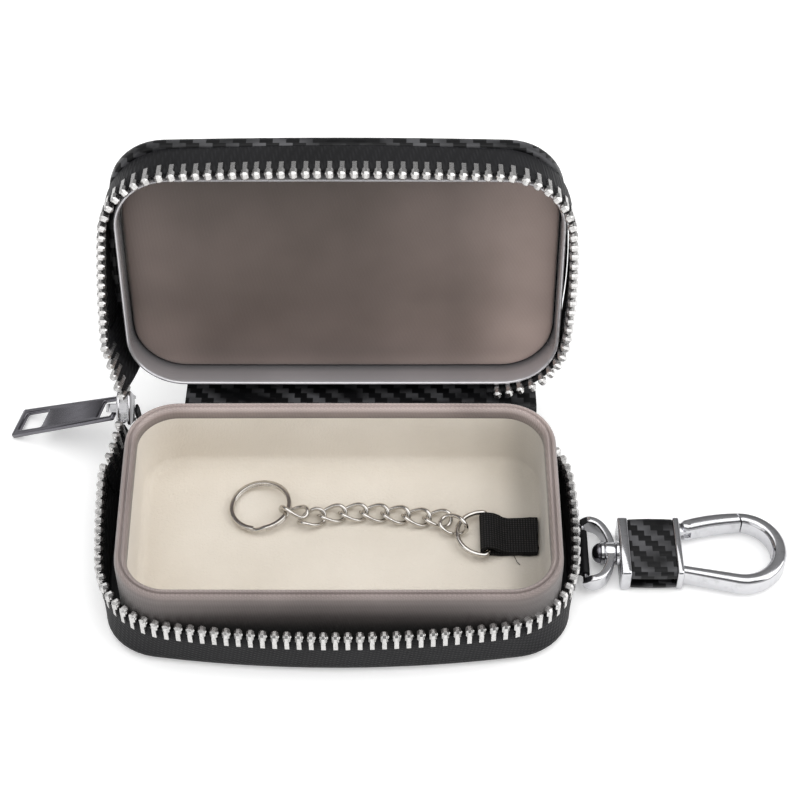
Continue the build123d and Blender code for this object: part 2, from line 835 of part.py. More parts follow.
with BuildPart() as block_wrap:
    with BuildSketch(Plane.YZ.offset(core_left + glue_gap)):
        with Locations((clip_y, clip_z)):
            RectangleRounded(2 * flange_half_width - 0.5, 2 * block_half_height - 0.4, 1.2)
            Rectangle(
                2 * flange_half_width - 0.5 - 2 * wrap_thick,
                2 * block_half_height - 0.4 - 2 * wrap_thick,
                mode=Mode.SUBTRACT,
            )
        with Locations((clip_y - flange_half_width + 0.5, clip_z - 0.3)):
            Rectangle(2.4, 2.6, mode=Mode.SUBTRACT)
    extrude(amount=core_right - core_left - 2 * glue_gap)
block_wrap.part.label = "block_wrap"
export_step(block_wrap.part, "parts/block_wrap.step")

gate_pin_at = Vector(gate_pin_x, gate_pin_y, 0)
seam_gap = Vector(gate_seam, 0, 0)
gate_nose = gate_pin_at + Vector(-1.35, 1.35, 0)
gate_foot = gate_pin_at + Vector(0, -1.9, 0)
gate_length = seam_outer.X - gate_pin_x

with BuildPart() as clip_gate:
    with BuildSketch(Plane.XY.offset(clip_z)):
        with BuildLine():
            ThreePointArc(gate_nose, gate_pin_at + Vector(5.2, 3.0, 0), seam_outer - seam_gap)
            Line(seam_outer - seam_gap, seam_inner - seam_gap)
            ThreePointArc(
                seam_inner - seam_gap, gate_pin_at + Vector(5.5, -0.6, 0), gate_foot
            )
            ThreePointArc(gate_foot, gate_pin_at + Vector(-1.85, -0.3, 0), gate_nose)
        make_face()
    extrude(amount=bow_half_height, both=True)
    chamfer(clip_gate.edges().filter_by(lambda edge: edge.length > gate_length / 2), bow_bevel)
    with Locations((gate_pin_x - 0.6, gate_pin_y, clip_z)):
        Box(2.1 * lug_width, 2.6 * lug_width, lug_height + 1.4, mode=Mode.SUBTRACT)
    with Locations((gate_pin_x, gate_pin_y, clip_z)):
        Cylinder(gate_pin_radius + running_clear, 8, mode=Mode.SUBTRACT)
clip_gate.part.label = "clip_gate"
export_step(clip_gate.part, "parts/clip_gate.step")

with BuildPart() as gate_pin:
    with Locations((gate_pin_x, gate_pin_y, clip_z)):
        Cylinder(gate_pin_radius, 2 * bow_half_height + 0.1)
gate_pin.part.label = "gate_pin"
export_step(gate_pin.part, "parts/gate_pin.step")

with BuildPart() as gate_spring:
    with Locations((gate_pin_x, gate_pin_y, clip_z + 1.13)):
        Cylinder(1.3, 0.5)
        Cylinder(gate_pin_radius + 0.15, 0.5, mode=Mode.SUBTRACT)
gate_spring.part.label = "gate_spring"
export_step(gate_spring.part, "parts/gate_spring.step")


# Slider at the back left corner, its pull tab and the tape tail that holds it

slider_frame = Plane(origin=slider_at, x_dir=slider_mouth_way, z_dir=slider_face_way)
plate_low = slider_channel / 2
plate_points = [
    (-slider_length / 2, -slider_tail / 2),
    (slider_length / 2 - 2, -slider_mouth / 2),
    (slider_length / 2, -slider_mouth / 2 + 1.6),
    (slider_length / 2, slider_mouth / 2 - 1.6),
    (slider_length / 2 - 2, slider_mouth / 2),
    (-slider_length / 2, slider_tail / 2),
]

with BuildPart() as slider_body:
    for level in (plate_low, -plate_low - slider_plate):
        with BuildSketch(slider_frame.offset(level)):
            with BuildLine():
                Polyline(*plate_points, close=True)
            make_face()
        extrude(amount=slider_plate)
    with BuildSketch(slider_frame.offset(-plate_low - 0.1)):
        with BuildLine():
            Polyline((0.4, 0), (slider_length / 2, -1.3), (slider_length / 2, 1.3), close=True)
        make_face()
    extrude(amount=slider_channel + 0.2)
    for side in (-1, 1):
        for level in (plate_low - 0.7, -plate_low - 0.1):
            with BuildSketch(slider_frame.offset(level)):
                with BuildLine():
                    Polyline(
                        (-slider_length / 2, side * slider_tail / 2),
                        (1.5, side * (slider_tail / 2 + 0.7)),
                        (1.5, side * (slider_tail / 2 - 0.2)),
                        (-slider_length / 2, side * (slider_tail / 2 - 0.9)),
                        close=True,
                    )
                make_face()
            extrude(amount=0.8)
slider_body.part.label = "slider_body"
export_step(slider_body.part, "parts/slider_body.step")

plate_face = plate_low + slider_plate
bridge_plane = Plane(
    origin=slider_at, x_dir=slider_frame.x_dir, z_dir=slider_frame.x_dir.cross(slider_frame.z_dir)
)

with BuildPart() as slider_bridge:
    with BuildSketch(bridge_plane):
        with Locations((-0.4, plate_face + glue_gap + (bridge_rise + bridge_strip) / 2)):
            Rectangle(bridge_length, bridge_rise + bridge_strip)
        with Locations((-0.4, plate_face + glue_gap + bridge_rise / 2)):
            Rectangle(bridge_length - 2 * bridge_strip, bridge_rise, mode=Mode.SUBTRACT)
    extrude(amount=bridge_width / 2, both=True)
slider_bridge.part.label = "slider_bridge"
export_step(slider_bridge.part, "parts/slider_bridge.step")

tab_pin = slider_frame.from_local_coords((-0.4, 0, plate_face + pin_rise))
tab_out = Vector(*tab_out_way).normalized()
tab_way = Vector(tab_out.X, tab_out.Y, -(tab_pin.Z - tab_thick / 2) / tab_drop).normalized()
tab_across = Vector(0, 0, 1).cross(tab_way).normalized()
tab_plane = Plane(origin=tab_pin, x_dir=tab_way, z_dir=tab_way.cross(tab_across))

with BuildPart() as pull_tab:
    with BuildSketch(tab_plane):
        with BuildLine():
            Polyline(
                (-tab_eye_bar / 2, -tab_inner_width / 2),
                (tab_length, -tab_outer_width / 2),
                (tab_length, tab_outer_width / 2),
                (-tab_eye_bar / 2, tab_inner_width / 2),
                close=True,
            )
        make_face()
        with Locations(((tab_eye_bar + tab_eye_length) / 2, 0)):
            Rectangle(tab_eye_length, tab_eye_width, mode=Mode.SUBTRACT)
        with Locations((tab_length - 5.6, 0)):
            RectangleRounded(7.4, 6.0, 0.4, mode=Mode.SUBTRACT)
    extrude(amount=tab_thick / 2, both=True)
pull_tab.part.label = "pull_tab"
export_step(pull_tab.part, "parts/pull_tab.step")

tail_top = slider_frame.from_local_coords((-slider_length / 2 - 0.15, 0, 0))
corner_way = Vector(-0.66, 0.75, 0).normalized()
corner_x = 16.3 - shell_half_length
corner_y = shell_half_depth - 16.1
tail_foot = Vector(corner_x, corner_y, shell_rim + 0.05) + corner_way * (shell_corner - 0.8)

tail_way = (tail_foot - tail_top).normalized()
tail_side = tail_way.cross(slider_frame.z_dir).normalized()

with BuildPart() as zip_tail:
    with BuildSketch(
        Plane(origin=tail_top - tail_way * tail_width, x_dir=tail_side, z_dir=tail_way)
    ):
        Rectangle(tail_width, 1.5 * tape_thick)
    extrude(amount=(tail_foot - tail_top).length + 2 * tail_width)
    split(bisect_by=Plane(origin=tail_top, z_dir=-slider_frame.x_dir), keep=Keep.TOP)
    split(bisect_by=Plane.XY.offset(tail_foot.Z), keep=Keep.TOP)
zip_tail.part.label = "zip_tail"
export_step(zip_tail.part, "parts/zip_tail.step")
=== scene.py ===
import math
import random
import bmesh
import bpy
from mathutils import Matrix, Vector, geometry


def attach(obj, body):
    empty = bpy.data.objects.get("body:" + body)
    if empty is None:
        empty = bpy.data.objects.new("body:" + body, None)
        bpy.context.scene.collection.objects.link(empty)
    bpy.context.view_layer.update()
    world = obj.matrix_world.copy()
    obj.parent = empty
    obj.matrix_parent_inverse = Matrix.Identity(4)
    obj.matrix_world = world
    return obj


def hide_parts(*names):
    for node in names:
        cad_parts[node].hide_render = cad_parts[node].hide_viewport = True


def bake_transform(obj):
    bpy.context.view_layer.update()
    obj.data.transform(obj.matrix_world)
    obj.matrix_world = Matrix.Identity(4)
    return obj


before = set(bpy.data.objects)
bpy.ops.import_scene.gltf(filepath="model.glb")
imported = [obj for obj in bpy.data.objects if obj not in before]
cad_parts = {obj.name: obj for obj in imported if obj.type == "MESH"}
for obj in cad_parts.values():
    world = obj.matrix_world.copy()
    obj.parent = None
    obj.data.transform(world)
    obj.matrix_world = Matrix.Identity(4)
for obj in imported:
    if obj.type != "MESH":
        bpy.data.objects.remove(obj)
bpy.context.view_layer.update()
mm = 0.001
rightWay, backWay, upWay = Vector((1, 0, 0)), Vector((0, 1, 0)), Vector((0, 0, 1))
print("frame loaded")

# the lid stands open, so lid pieces are made shut and then turned about the hinge
hingeAt = Vector((0, 35.5, 14.0)) * mm
lidOpening = math.radians(98.3)
openLid = Matrix.Translation(hingeAt) @ Matrix.Rotation(-lidOpening, 4, "X") @ Matrix.Translation(-hingeAt)

# camera and lamps

cameraSettings = {"place": (14.13, -288.2, 387.4), "tilt": 41.17, "lens": 88.41}

camera = bpy.data.objects.new("camera", bpy.data.cameras.new("camera"))
bpy.context.scene.collection.objects.link(camera)
camera.location = Vector(cameraSettings["place"]) * mm
camera.rotation_euler = (math.radians(cameraSettings["tilt"]), 0, 0)
camera.data.lens = cameraSettings["lens"]
camera.data.sensor_width = 36
camera.data.clip_start = 0.01
bpy.context.scene.camera = camera
bpy.context.scene.view_settings.view_transform = "Standard"

lampSettings = {
    "overhead": {"place": (0.05, 0.0, 0.8), "aim": (0, 0.02, 0.02), "size": 1.0, "power": 3.9},
    "frontLeft": {"place": (-0.5, -0.45, 0.45), "aim": (0, 0, 0.02), "size": 0.7, "power": 1.1},
    "right": {"place": (0.6, -0.1, 0.4), "aim": (0.03, 0, 0.02), "size": 0.6, "power": 1.7},
}

for lampName, lamp in lampSettings.items():
    lampData = bpy.data.lights.new(lampName, "AREA")
    lampData.size = lamp["size"]
    lampData.energy = lamp["power"]
    lampObject = bpy.data.objects.new(lampName, lampData)
    bpy.context.scene.collection.objects.link(lampObject)
    lampObject.location = lamp["place"]
    aim = Vector(lamp["aim"]) - Vector(lamp["place"])
    lampObject.rotation_euler = aim.to_track_quat("-Z", "Y").to_euler()

# node helpers: what goes into a node is a number, a colour or the output of another node

def fillInputs(tree, node, values):
    for key, value in values.items():
        if isinstance(value, bpy.types.NodeSocket):
            tree.links.new(value, node.inputs[key])
        else:
            node.inputs[key].default_value = value


def newNode(tree, kind, values=None, **settings):
    node = tree.nodes.new(kind if kind.startswith("Node") else "ShaderNode" + kind)
    for key, value in settings.items():
        setattr(node, key, value)
    fillInputs(tree, node, values or {})
    return node


def mathNode(tree, operation, *values):
    return newNode(tree, "Math", dict(enumerate(values)), operation=operation).outputs[0]


def rampNode(tree, source, stops, blend="LINEAR"):
    # stops are places from 0 to 1 with a grey or a colour
    node = newNode(tree, "ValToRGB", {0: source})
    node.color_ramp.interpolation = blend
    ramp = node.color_ramp.elements
    for number, (place, colour) in enumerate(stops):
        if 0 < number < len(stops) - 1:
            stop = ramp.new(place)
        else:
            stop = ramp[-1 if number else 0]
        stop.position = place
        stop.color = (*colour, 1) if isinstance(colour, tuple) else (colour, colour, colour, 1)
    return node.outputs[0]


def objectWay(tree):
    return newNode(tree, "TexCoord").outputs["Object"]


def openGroup(name, inputs, outputs):
    tree = bpy.data.node_groups.new(name, "ShaderNodeTree")
    for label, value in inputs.items():
        tree.interface.new_socket(label, in_out="INPUT", socket_type="NodeSocketFloat").default_value = value
    for label in outputs:
        tree.interface.new_socket(label, in_out="OUTPUT", socket_type="NodeSocketFloat")
    return tree, newNode(tree, "NodeGroupInput").outputs


# a world that the camera sees as white and the metal as a room with bands of light

roomSettings = {
    "below": 0.5, "above": 0.6, "soft": 0.62, "tint": 1.01,
    "bands": ((0.44, 0.03), (0.52, 0.3), (0.62, 0.75), (0.72, 0.05), (0.82, 0.2), (0.9, 0.28)),
}
white = (1, 1, 1, 1)
world = bpy.data.worlds.new("room")
bpy.context.scene.world = world
world.use_nodes = True
roomTree = world.node_tree
roomTree.nodes.clear()


def roomLight(colour, strength):
    return newNode(roomTree, "Background", {"Color": colour, "Strength": strength}).outputs[0]


roomWay = newNode(roomTree, "TexCoord").outputs["Generated"]
roomUp = newNode(roomTree, "SeparateXYZ", {0: roomWay}).outputs["Z"]
roomBands = [(place, (grey, grey, grey * roomSettings["tint"])) for place, grey in roomSettings["bands"]]
roomColour = rampNode(
    roomTree, mathNode(roomTree, "MULTIPLY_ADD", roomUp, 0.5, 0.5),
    [(0.0, roomSettings["below"]), *roomBands, (1.0, roomSettings["above"])],
)
roomPath = newNode(roomTree, "LightPath").outputs
roomFirst = newNode(roomTree, "MixShader", {
    0: roomPath["Is Glossy Ray"], 1: roomLight(white, roomSettings["soft"]), 2: roomLight(roomColour, 1.0),
})
roomSecond = newNode(roomTree, "MixShader", {
    0: roomPath["Is Camera Ray"], 1: roomFirst.outputs[0], 2: roomLight(white, 1.0),
})
newNode(roomTree, "OutputWorld", {0: roomSecond.outputs[0]})
print("room ready")


# shared effects

def makeGrainGroup():
    tree, given = openGroup("grain", {"Scale": 900.0, "Contrast": 1.0}, ("Height", "Patches"))
    way = objectWay(tree)
    cells = newNode(
        tree, "TexVoronoi", {"Vector": way, "Scale": given["Scale"], "Randomness": 1.0},
        feature="DISTANCE_TO_EDGE",
    )
    cloud = newNode(tree, "TexNoise", {"Vector": way, "Scale": 60.0, "Detail": 3.0})
    low = mathNode(tree, "MINIMUM", cells.outputs["Distance"], 0.25)
    newNode(tree, "NodeGroupOutput", {
        "Height": mathNode(tree, "MULTIPLY", low, given["Contrast"]), "Patches": cloud.outputs["Fac"],
    })
    return tree


def makeTwillGroup():
    # diagonal threads, from two waves across each other
    tree, given = openGroup("twill", {"Threads": 700.0, "Unevenness": 0.4}, ("Height", "Patches"))
    way = objectWay(tree)
    drift = newNode(tree, "TexNoise", {"Vector": way, "Scale": 45.0, "Detail": 2.0}).outputs["Fac"]
    waves = []
    for turn in ((0, 0.62, 0.79), (0, -0.79, 0.62)):
        lay = newNode(tree, "Mapping", {"Vector": way, "Rotation": turn}).outputs[0]
        wave = newNode(
            tree, "TexWave", {"Vector": lay, "Scale": given["Threads"], "Distortion": 0.6},
            bands_direction="DIAGONAL",
        )
        waves.append(wave.outputs["Fac"])
    uneven = mathNode(tree, "MULTIPLY", drift, given["Unevenness"])
    newNode(tree, "NodeGroupOutput", {
        "Height": mathNode(tree, "ADD", mathNode(tree, "MULTIPLY", *waves), uneven), "Patches": drift,
    })
    return tree


def makeScuffGroup():
    tree, given = openGroup("scuffs", {"Scale": 250.0, "Amount": 0.5}, ("Scuff", "Height"))
    stretch = newNode(tree, "Mapping", {"Vector": objectWay(tree), "Scale": (1.0, 4.0, 1.0)})
    fine = newNode(tree, "TexNoise", {
        "Vector": stretch.outputs[0], "Scale": given["Scale"], "Detail": 5.0, "Roughness": 0.7,
    }).outputs["Fac"]
    worn = rampNode(tree, fine, ((0.5, 0.0), (0.72, 1.0)))
    newNode(tree, "NodeGroupOutput", {"Scuff": mathNode(tree, "MULTIPLY", worn, given["Amount"]), "Height": fine})
    return tree


def makeCarbonGroup():
    # blocky over and under weave, as embossed on the leather
    tree, given = openGroup("carbonWeave", {"Scale": 520.0}, ("Height", "Blocks"))
    split = newNode(tree, "SeparateXYZ", {0: objectWay(tree)}).outputs
    across = mathNode(tree, "MULTIPLY", split["X"], given["Scale"])
    down = mathNode(tree, "MULTIPLY", mathNode(tree, "ADD", split["Y"], split["Z"]), given["Scale"])
    column, row = mathNode(tree, "FLOOR", across), mathNode(tree, "FLOOR", down)
    step = mathNode(tree, "MODULO", mathNode(tree, "ADD", column, row), 4.0)
    blocks = mathNode(tree, "LESS_THAN", mathNode(tree, "ABSOLUTE", step), 1.5)
    first = mathNode(tree, "MULTIPLY", mathNode(tree, "PINGPONG", across, 0.5), blocks)
    second = mathNode(
        tree, "MULTIPLY", mathNode(tree, "PINGPONG", down, 0.5), mathNode(tree, "SUBTRACT", 1.0, blocks)
    )
    newNode(tree, "NodeGroupOutput", {"Height": mathNode(tree, "ADD", first, second), "Blocks": blocks})
    return tree


effects = {
    "grain": makeGrainGroup(),
    "twill": makeTwillGroup(),
    "scuffs": makeScuffGroup(),
    "carbon": makeCarbonGroup(),
}


def effectNode(tree, name, values):
    node = tree.nodes.new("ShaderNodeGroup")
    node.node_tree = effects[name]
    fillInputs(tree, node, values)
    return node.outputs


def between(tree, mask, low, high):
    return mathNode(tree, "MULTIPLY_ADD", mask, high - low, low)


def paintLightAlong(tree, colour, paintedLight):
    # painted light and shade: the colour lightened or darkened along some ways; stops are distances in m and factors
    for axis, stops in paintedLight:
        measured = newNode(tree, "VectorMath", {0: objectWay(tree), 1: axis}, operation="DOT_PRODUCT")
        low, high = stops[0][0], stops[-1][0]
        values = {"Value": measured.outputs["Value"], "From Min": low, "From Max": high}
        spread = newNode(tree, "MapRange", values).outputs[0]
        top = max(factor for _, factor in stops)
        places = [((place - low) / (high - low), factor / top) for place, factor in stops]
        level = mathNode(tree, "MULTIPLY", rampNode(tree, spread, places, "EASE"), top)
        colour = newNode(tree, "VectorMath", {0: colour, "Scale": level}, operation="SCALE").outputs[0]
    return colour


# finishes

def openFinish(name):
    finish = bpy.data.materials.new(name)
    finish.use_nodes = True
    return finish, finish.node_tree


def closeFinish(finish, colours, mask, height, relief, values, paintedLight=()):
    # two colours by a mask, relief as strength and distance, and the shader's other inputs
    tree = finish.node_tree
    first, second = ((*colour, 1) for colour in colours)
    mixed = newNode(tree, "Mix", {"A": first, "B": second, "Factor": mask}, data_type="RGBA").outputs["Result"]
    strength, distance = relief
    bump = newNode(tree, "Bump", {"Strength": strength, "Distance": distance, "Height": height}).outputs[0]
    fillInputs(tree, tree.nodes["Principled BSDF"], {
        "Base Color": paintLightAlong(tree, mixed, paintedLight), "Normal": bump, **values,
    })
    return finish


def clothFinish(name, dark, light, sheen, gloss, threads, rough, relief, paintedLight=(), metal=0.0):
    finish, tree = openFinish(name)
    weave = effectNode(tree, "twill", {"Threads": threads, "Unevenness": 0.5})
    tone = mathNode(tree, "MULTIPLY_ADD", weave["Patches"], 0.9, -0.1)
    tone = mathNode(tree, "MULTIPLY_ADD", weave["Height"], 0.5, tone)
    return closeFinish(finish, (dark, light), tone, weave["Height"], (relief, 0.0001), {
        "Sheen Weight": sheen, "Sheen Roughness": 0.4, "Specular IOR Level": gloss, "Metallic": metal,
        "Roughness": between(tree, weave["Patches"], rough - 0.08, rough + 0.08),
    }, paintedLight)


def leatherFinish(name, dark, light, rough, coat, scale):
    finish, tree = openFinish(name)
    grain = effectNode(tree, "grain", {"Scale": scale, "Contrast": 1.0})
    return closeFinish(finish, (dark, light), grain["Patches"], grain["Height"], (0.35, 0.0001), {
        "Specular IOR Level": 0.14, "Coat Weight": coat,
        "Roughness": between(tree, grain["Patches"], rough - 0.1, rough + 0.1),
    })


def carbonFinish(name, dark, light, scale):
    finish, tree = openFinish(name)
    weave = effectNode(tree, "carbon", {"Scale": scale})
    values = {"Vector": objectWay(tree), "Rotation": (0, 0, 0.8), "Scale": (0.45, 1.0, 1.0)}
    lay = newNode(tree, "Mapping", values).outputs[0]
    # the embossed weave is the leather's own; its blocks take the lighter colour in noise streaks, a painted highlight
    # of gloss catching the light
    cloud = newNode(tree, "TexNoise", {"Vector": lay, "Scale": 150.0, "Detail": 2.0}).outputs["Fac"]
    paintedGlossStreaks = newNode(tree, "MapRange", {"Value": cloud, "From Min": 0.38, "From Max": 0.62}).outputs[0]
    mask = mathNode(tree, "MULTIPLY", weave["Blocks"], paintedGlossStreaks)
    return closeFinish(finish, (dark, light), mask, weave["Height"], (0.6, 0.00012), {
        "Specular IOR Level": 0.25, "Roughness": between(tree, weave["Blocks"], 0.48, 0.34),
    })


def metalFinish(name, light, dark, rough, relief, scale):
    finish, tree = openFinish(name)
    scuffs = effectNode(tree, "scuffs", {"Scale": scale, "Amount": 0.6})
    return closeFinish(finish, (light, dark), scuffs["Scuff"], scuffs["Height"], (relief, 0.00005), {
        "Metallic": 1.0, "Roughness": between(tree, scuffs["Scuff"], rough, rough + 0.12),
    })


def webbingFinish(name, dark, light, pitch):
    # a coarse square weave, over and under
    finish, tree = openFinish(name)
    split = newNode(tree, "SeparateXYZ", {0: objectWay(tree)}).outputs
    turns = [mathNode(tree, "MULTIPLY", split[axis], math.tau / pitch) for axis in ("X", "Y")]
    woven = mathNode(tree, "MULTIPLY", *[mathNode(tree, "SINE", turn) for turn in turns])
    woven = mathNode(tree, "ABSOLUTE", woven)
    values = {"Specular IOR Level": 0.2, "Roughness": 0.75}
    return closeFinish(finish, (dark, light), mathNode(tree, "POWER", woven, 2.0), woven, (0.9, 0.0002), values)


def feltFinish(name, dark, light, paintedLight):
    finish, tree = openFinish(name)
    way = objectWay(tree)
    cloud = newNode(tree, "TexNoise", {"Vector": way, "Scale": 35.0, "Detail": 4.0}).outputs["Fac"]
    pile = newNode(tree, "TexNoise", {"Vector": way, "Scale": 1500.0, "Detail": 3.0, "Roughness": 0.7})
    return closeFinish(finish, (dark, light), cloud, pile.outputs["Fac"], (0.6, 0.0003), {
        "Sheen Weight": 0.35, "Sheen Roughness": 0.7, "Specular IOR Level": 0.1, "Roughness": 0.95,
    }, paintedLight)


finishes = {
    "satin": clothFinish(
        "taupeSatin", dark=(0.085, 0.066, 0.058), light=(0.165, 0.13, 0.118), sheen=0.2, gloss=0.4,
        threads=1100.0, rough=0.4, relief=0.35, paintedLight=(
            # painted highlight: the lid's satin lighter towards its sides, most at the right, and towards the hinge, as
            # sheen where the light falls
            (rightWay, ((-0.052, 1.1), (-0.032, 0.78), (0.0, 0.78), (0.025, 1.08), (0.05, 2.1))),
            (upWay, ((0.016, 2.6), (0.024, 1.7), (0.042, 1.15), (0.08, 0.95))),
        ),
    ),
    "traySatin": clothFinish(
        "pinkGreySatin", dark=(0.115, 0.094, 0.088), light=(0.23, 0.192, 0.182), sheen=0.25, gloss=0.45,
        threads=1000.0, rough=0.42, relief=0.4, paintedLight=(
            # painted shade: the tray's satin darker low on its walls; painted highlight on the top of the rim and
            # towards the back rim, which faces the light
            (upWay, (
                (0.006, 0.04), (0.011, 0.06), (0.0155, 0.24), (0.0198, 0.52), (0.0222, 0.8), (0.0232, 1.3),
                (0.0238, 1.5),
            )),
            (backWay, ((-0.02, 1.0), (0.015, 1.05), (0.0255, 1.8), (0.03, 1.9))),
        ),
    ),
    "greySatin": clothFinish(
        "greySatin", dark=(0.48, 0.47, 0.485), light=(0.62, 0.61, 0.63), sheen=0.0, gloss=0.8, metal=0.6,
        threads=2600.0, rough=0.2, relief=0.02,
        # painted highlight along the frame's rounded outer edge, painted shade on its inner wall further in
        paintedLight=(((0, 0.9895, -0.1444), ((0.0366, 1.1), (0.0385, 1.0), (0.0405, 0.9), (0.0435, 0.6))),),
    ),
    "tape": clothFinish(
        "blackTwillTape", dark=(0.003, 0.003, 0.0034), light=(0.016, 0.016, 0.018), sheen=0.03, gloss=0.22,
        threads=420.0, rough=0.55, relief=0.9,
    ),
    "padding": clothFinish(
        "foamCloth", dark=(0.3, 0.3, 0.3), light=(0.45, 0.45, 0.45), sheen=0.0, gloss=0.2, threads=500.0,
        rough=0.9, relief=0.4,
    ),
    "webbing": webbingFinish("blackWebbing", dark=(0.002, 0.002, 0.002), light=(0.042, 0.041, 0.043), pitch=0.0013),
    "felt": feltFinish(
        "creamFelt", dark=(0.60, 0.54, 0.455), light=(0.81, 0.755, 0.675),
        # painted shade: the felt darker towards the right wall, which faces away from the light
        paintedLight=((rightWay, ((0.03, 1.0), (0.038, 0.95), (0.0455, 0.62), (0.0495, 0.56))),),
    ),
    "leather": leatherFinish(
        "blackLeather", dark=(0.004, 0.004, 0.0044), light=(0.012, 0.012, 0.013), rough=0.45, coat=0.03, scale=900.0
    ),
    "carbon": carbonFinish("carbonLeather", dark=(0.004, 0.004, 0.0046), light=(0.085, 0.085, 0.09), scale=640.0),
}
for finishName, looks in {
    # bright and worn colour, roughness, relief and scale of the scuffs
    "nickel": ("brightNickel", (0.70, 0.70, 0.72), (0.46, 0.46, 0.48), 0.09, 0.03, 260.0),
    "chainNickel": ("chainNickel", (0.66, 0.635, 0.60), (0.36, 0.34, 0.315), 0.12, 0.05, 420.0),
    "darkNickel": ("darkNickel", (0.20, 0.195, 0.215), (0.14, 0.135, 0.15), 0.12, 0.03, 200.0),
    "teeth": ("zipToothMetal", (0.74, 0.73, 0.72), (0.3, 0.29, 0.28), 0.27, 0.3, 900.0),
    "sliderMetal": ("sliderMetal", (0.6, 0.595, 0.61), (0.42, 0.415, 0.43), 0.12, 0.05, 300.0),
    "steel": ("springSteel", (0.5, 0.5, 0.5), (0.3, 0.3, 0.3), 0.3, 0.05, 400.0),
}.items():
    finishes[finishName] = metalFinish(*looks)
print("finishes ready")


# outlines: closed loops of tangent arcs, spun from one vertex

def outlineOf(halfLength, halfDepth, sideRadius, frontRadius, corner):
    return {
        "halfLength": halfLength, "halfDepth": halfDepth, "sideRadius": sideRadius,
        "frontRadius": frontRadius, "corner": corner,
    }


lidOutline = outlineOf(55.9, 34.5, 130.0, 1500.0, 14.0)
baseOutline = outlineOf(55.8, 33.7, 160.0, 300.0, 13.5)
lidRowOutline = outlineOf(56.4, 34.0, 160.0, 800.0, 18.0)
rowOutline = outlineOf(56.6, 33.9, 160.0, 260.0, 20.5)
trayOutline = outlineOf(52.0, 29.6, 4000.0, 9000.0, 12.5)
frameOutline = outlineOf(53.6, 31.2, 4000.0, 9000.0, 14.1)
fineStep, coverStep = 1.6, 2.0


def outlineArcs(size):
    # centre, radius, first angle and sweep of each arc, from the middle of the front, round to the right
    sideMiddle = Vector((size["halfLength"] - size["sideRadius"], 0))
    frontMiddle = Vector((0, size["halfDepth"] - size["frontRadius"]))
    sideReach = size["sideRadius"] - size["corner"]
    frontReach = size["frontRadius"] - size["corner"]
    toward = frontMiddle - sideMiddle
    apart = toward.length
    toward.normalize()
    along = (sideReach**2 - frontReach**2 + apart**2) / (2 * apart)
    off = math.sqrt(sideReach**2 - along**2)
    corner = sideMiddle + toward * along + Vector((-toward.y, toward.x)) * off
    sideAngle = math.atan2(corner.y, corner.x - sideMiddle.x)
    frontAngle = math.atan2(corner.y - frontMiddle.y, corner.x)
    turn = frontAngle - sideAngle
    lean = math.pi / 2 - frontAngle
    front = ((0, -frontMiddle.y), size["frontRadius"])
    back = ((0, frontMiddle.y), size["frontRadius"])
    right = ((sideMiddle.x, 0), size["sideRadius"])
    left = ((-sideMiddle.x, 0), size["sideRadius"])
    half = math.pi / 2
    return [
        (*front, -half, lean),
        ((corner.x, -corner.y), size["corner"], -frontAngle, turn),
        (*right, -sideAngle, 2 * sideAngle),
        ((corner.x, corner.y), size["corner"], sideAngle, turn),
        (*back, half - lean, 2 * lean),
        ((-corner.x, corner.y), size["corner"], math.pi - frontAngle, turn),
        (*left, math.pi - sideAngle, 2 * sideAngle),
        ((-corner.x, -corner.y), size["corner"], math.pi + sideAngle, turn),
        (*front, -half - lean, lean),
    ]


def alongOutline(size, distance):
    # the place and outward way at this distance round the outline, in mm
    distance = distance % outlineLength(size)
    for centre, radius, start, sweep in outlineArcs(size):
        if distance <= radius * sweep:
            break
        distance -= radius * sweep
    angle = start + distance / radius
    outward = Vector((math.cos(angle), math.sin(angle), 0))
    return Vector((*centre, 0)) + outward * radius, outward


def outlineLength(size):
    return sum(radius * sweep for _, radius, _, sweep in outlineArcs(size))


def placesRound(size, count):
    length = outlineLength(size)
    return [alongOutline(size, length * step / count)[0] for step in range(count)]


def traceOutline(bm, size, grow, height, stepLength):
    outwardOf = bm.verts.layers.float_vector.new("outward")
    baseOf = bm.verts.layers.float_vector.new("base")
    arcs = outlineArcs(size)
    centre, radius, start, sweep = arcs[0]
    first = Vector((centre[0] + radius * math.cos(start), centre[1] + radius * math.sin(start), 0))
    tip = bm.verts.new(first * mm)
    for centre, radius, start, sweep in arcs:
        before = len(bm.verts)
        steps = max(8 if radius < 30 else 2, round(radius * sweep / stepLength))
        spun = bmesh.ops.spin(
            bm, geom=[tip], cent=Vector((*centre, 0)) * mm, axis=upWay, angle=sweep, steps=steps
        )
        tip = [part for part in spun["geom_last"] if isinstance(part, bmesh.types.BMVert)][0]
        bm.verts.ensure_lookup_table()
        for vert in bm.verts[before:]:
            out = vert.co - Vector((*centre, 0)) * mm
            vert[outwardOf] = out.normalized()
            vert[baseOf] = vert.co
    bmesh.ops.remove_doubles(bm, verts=bm.verts, dist=0.00002)
    for vert in bm.verts:
        if vert[outwardOf].length < 0.5:
            vert[outwardOf] = (0, -1, 0)
            vert[baseOf] = vert.co
    setLevel(bm, bm.verts, grow, height)
    return list(bm.edges)


def setLevel(bm, verts, grow, height, shrink=1.0):
    outwardOf = bm.verts.layers.float_vector["outward"]
    baseOf = bm.verts.layers.float_vector["base"]
    for vert in verts:
        place = vert[baseOf] + vert[outwardOf] * grow * mm
        vert.co = Vector((place.x * shrink, place.y * shrink, height * mm))


def wrapRound(bm, edges, levels):
    # each level is a growth from the outline and a height, and may shrink towards the middle
    for level in levels:
        made = bmesh.ops.extrude_edge_only(bm, edges=edges)["geom"]
        edges = [part for part in made if isinstance(part, bmesh.types.BMEdge)]
        verts = [part for part in made if isinstance(part, bmesh.types.BMVert)]
        setLevel(bm, verts, *level)
        edges = [edge for edge in edges if all(vert in verts for vert in edge.verts)]
    return edges


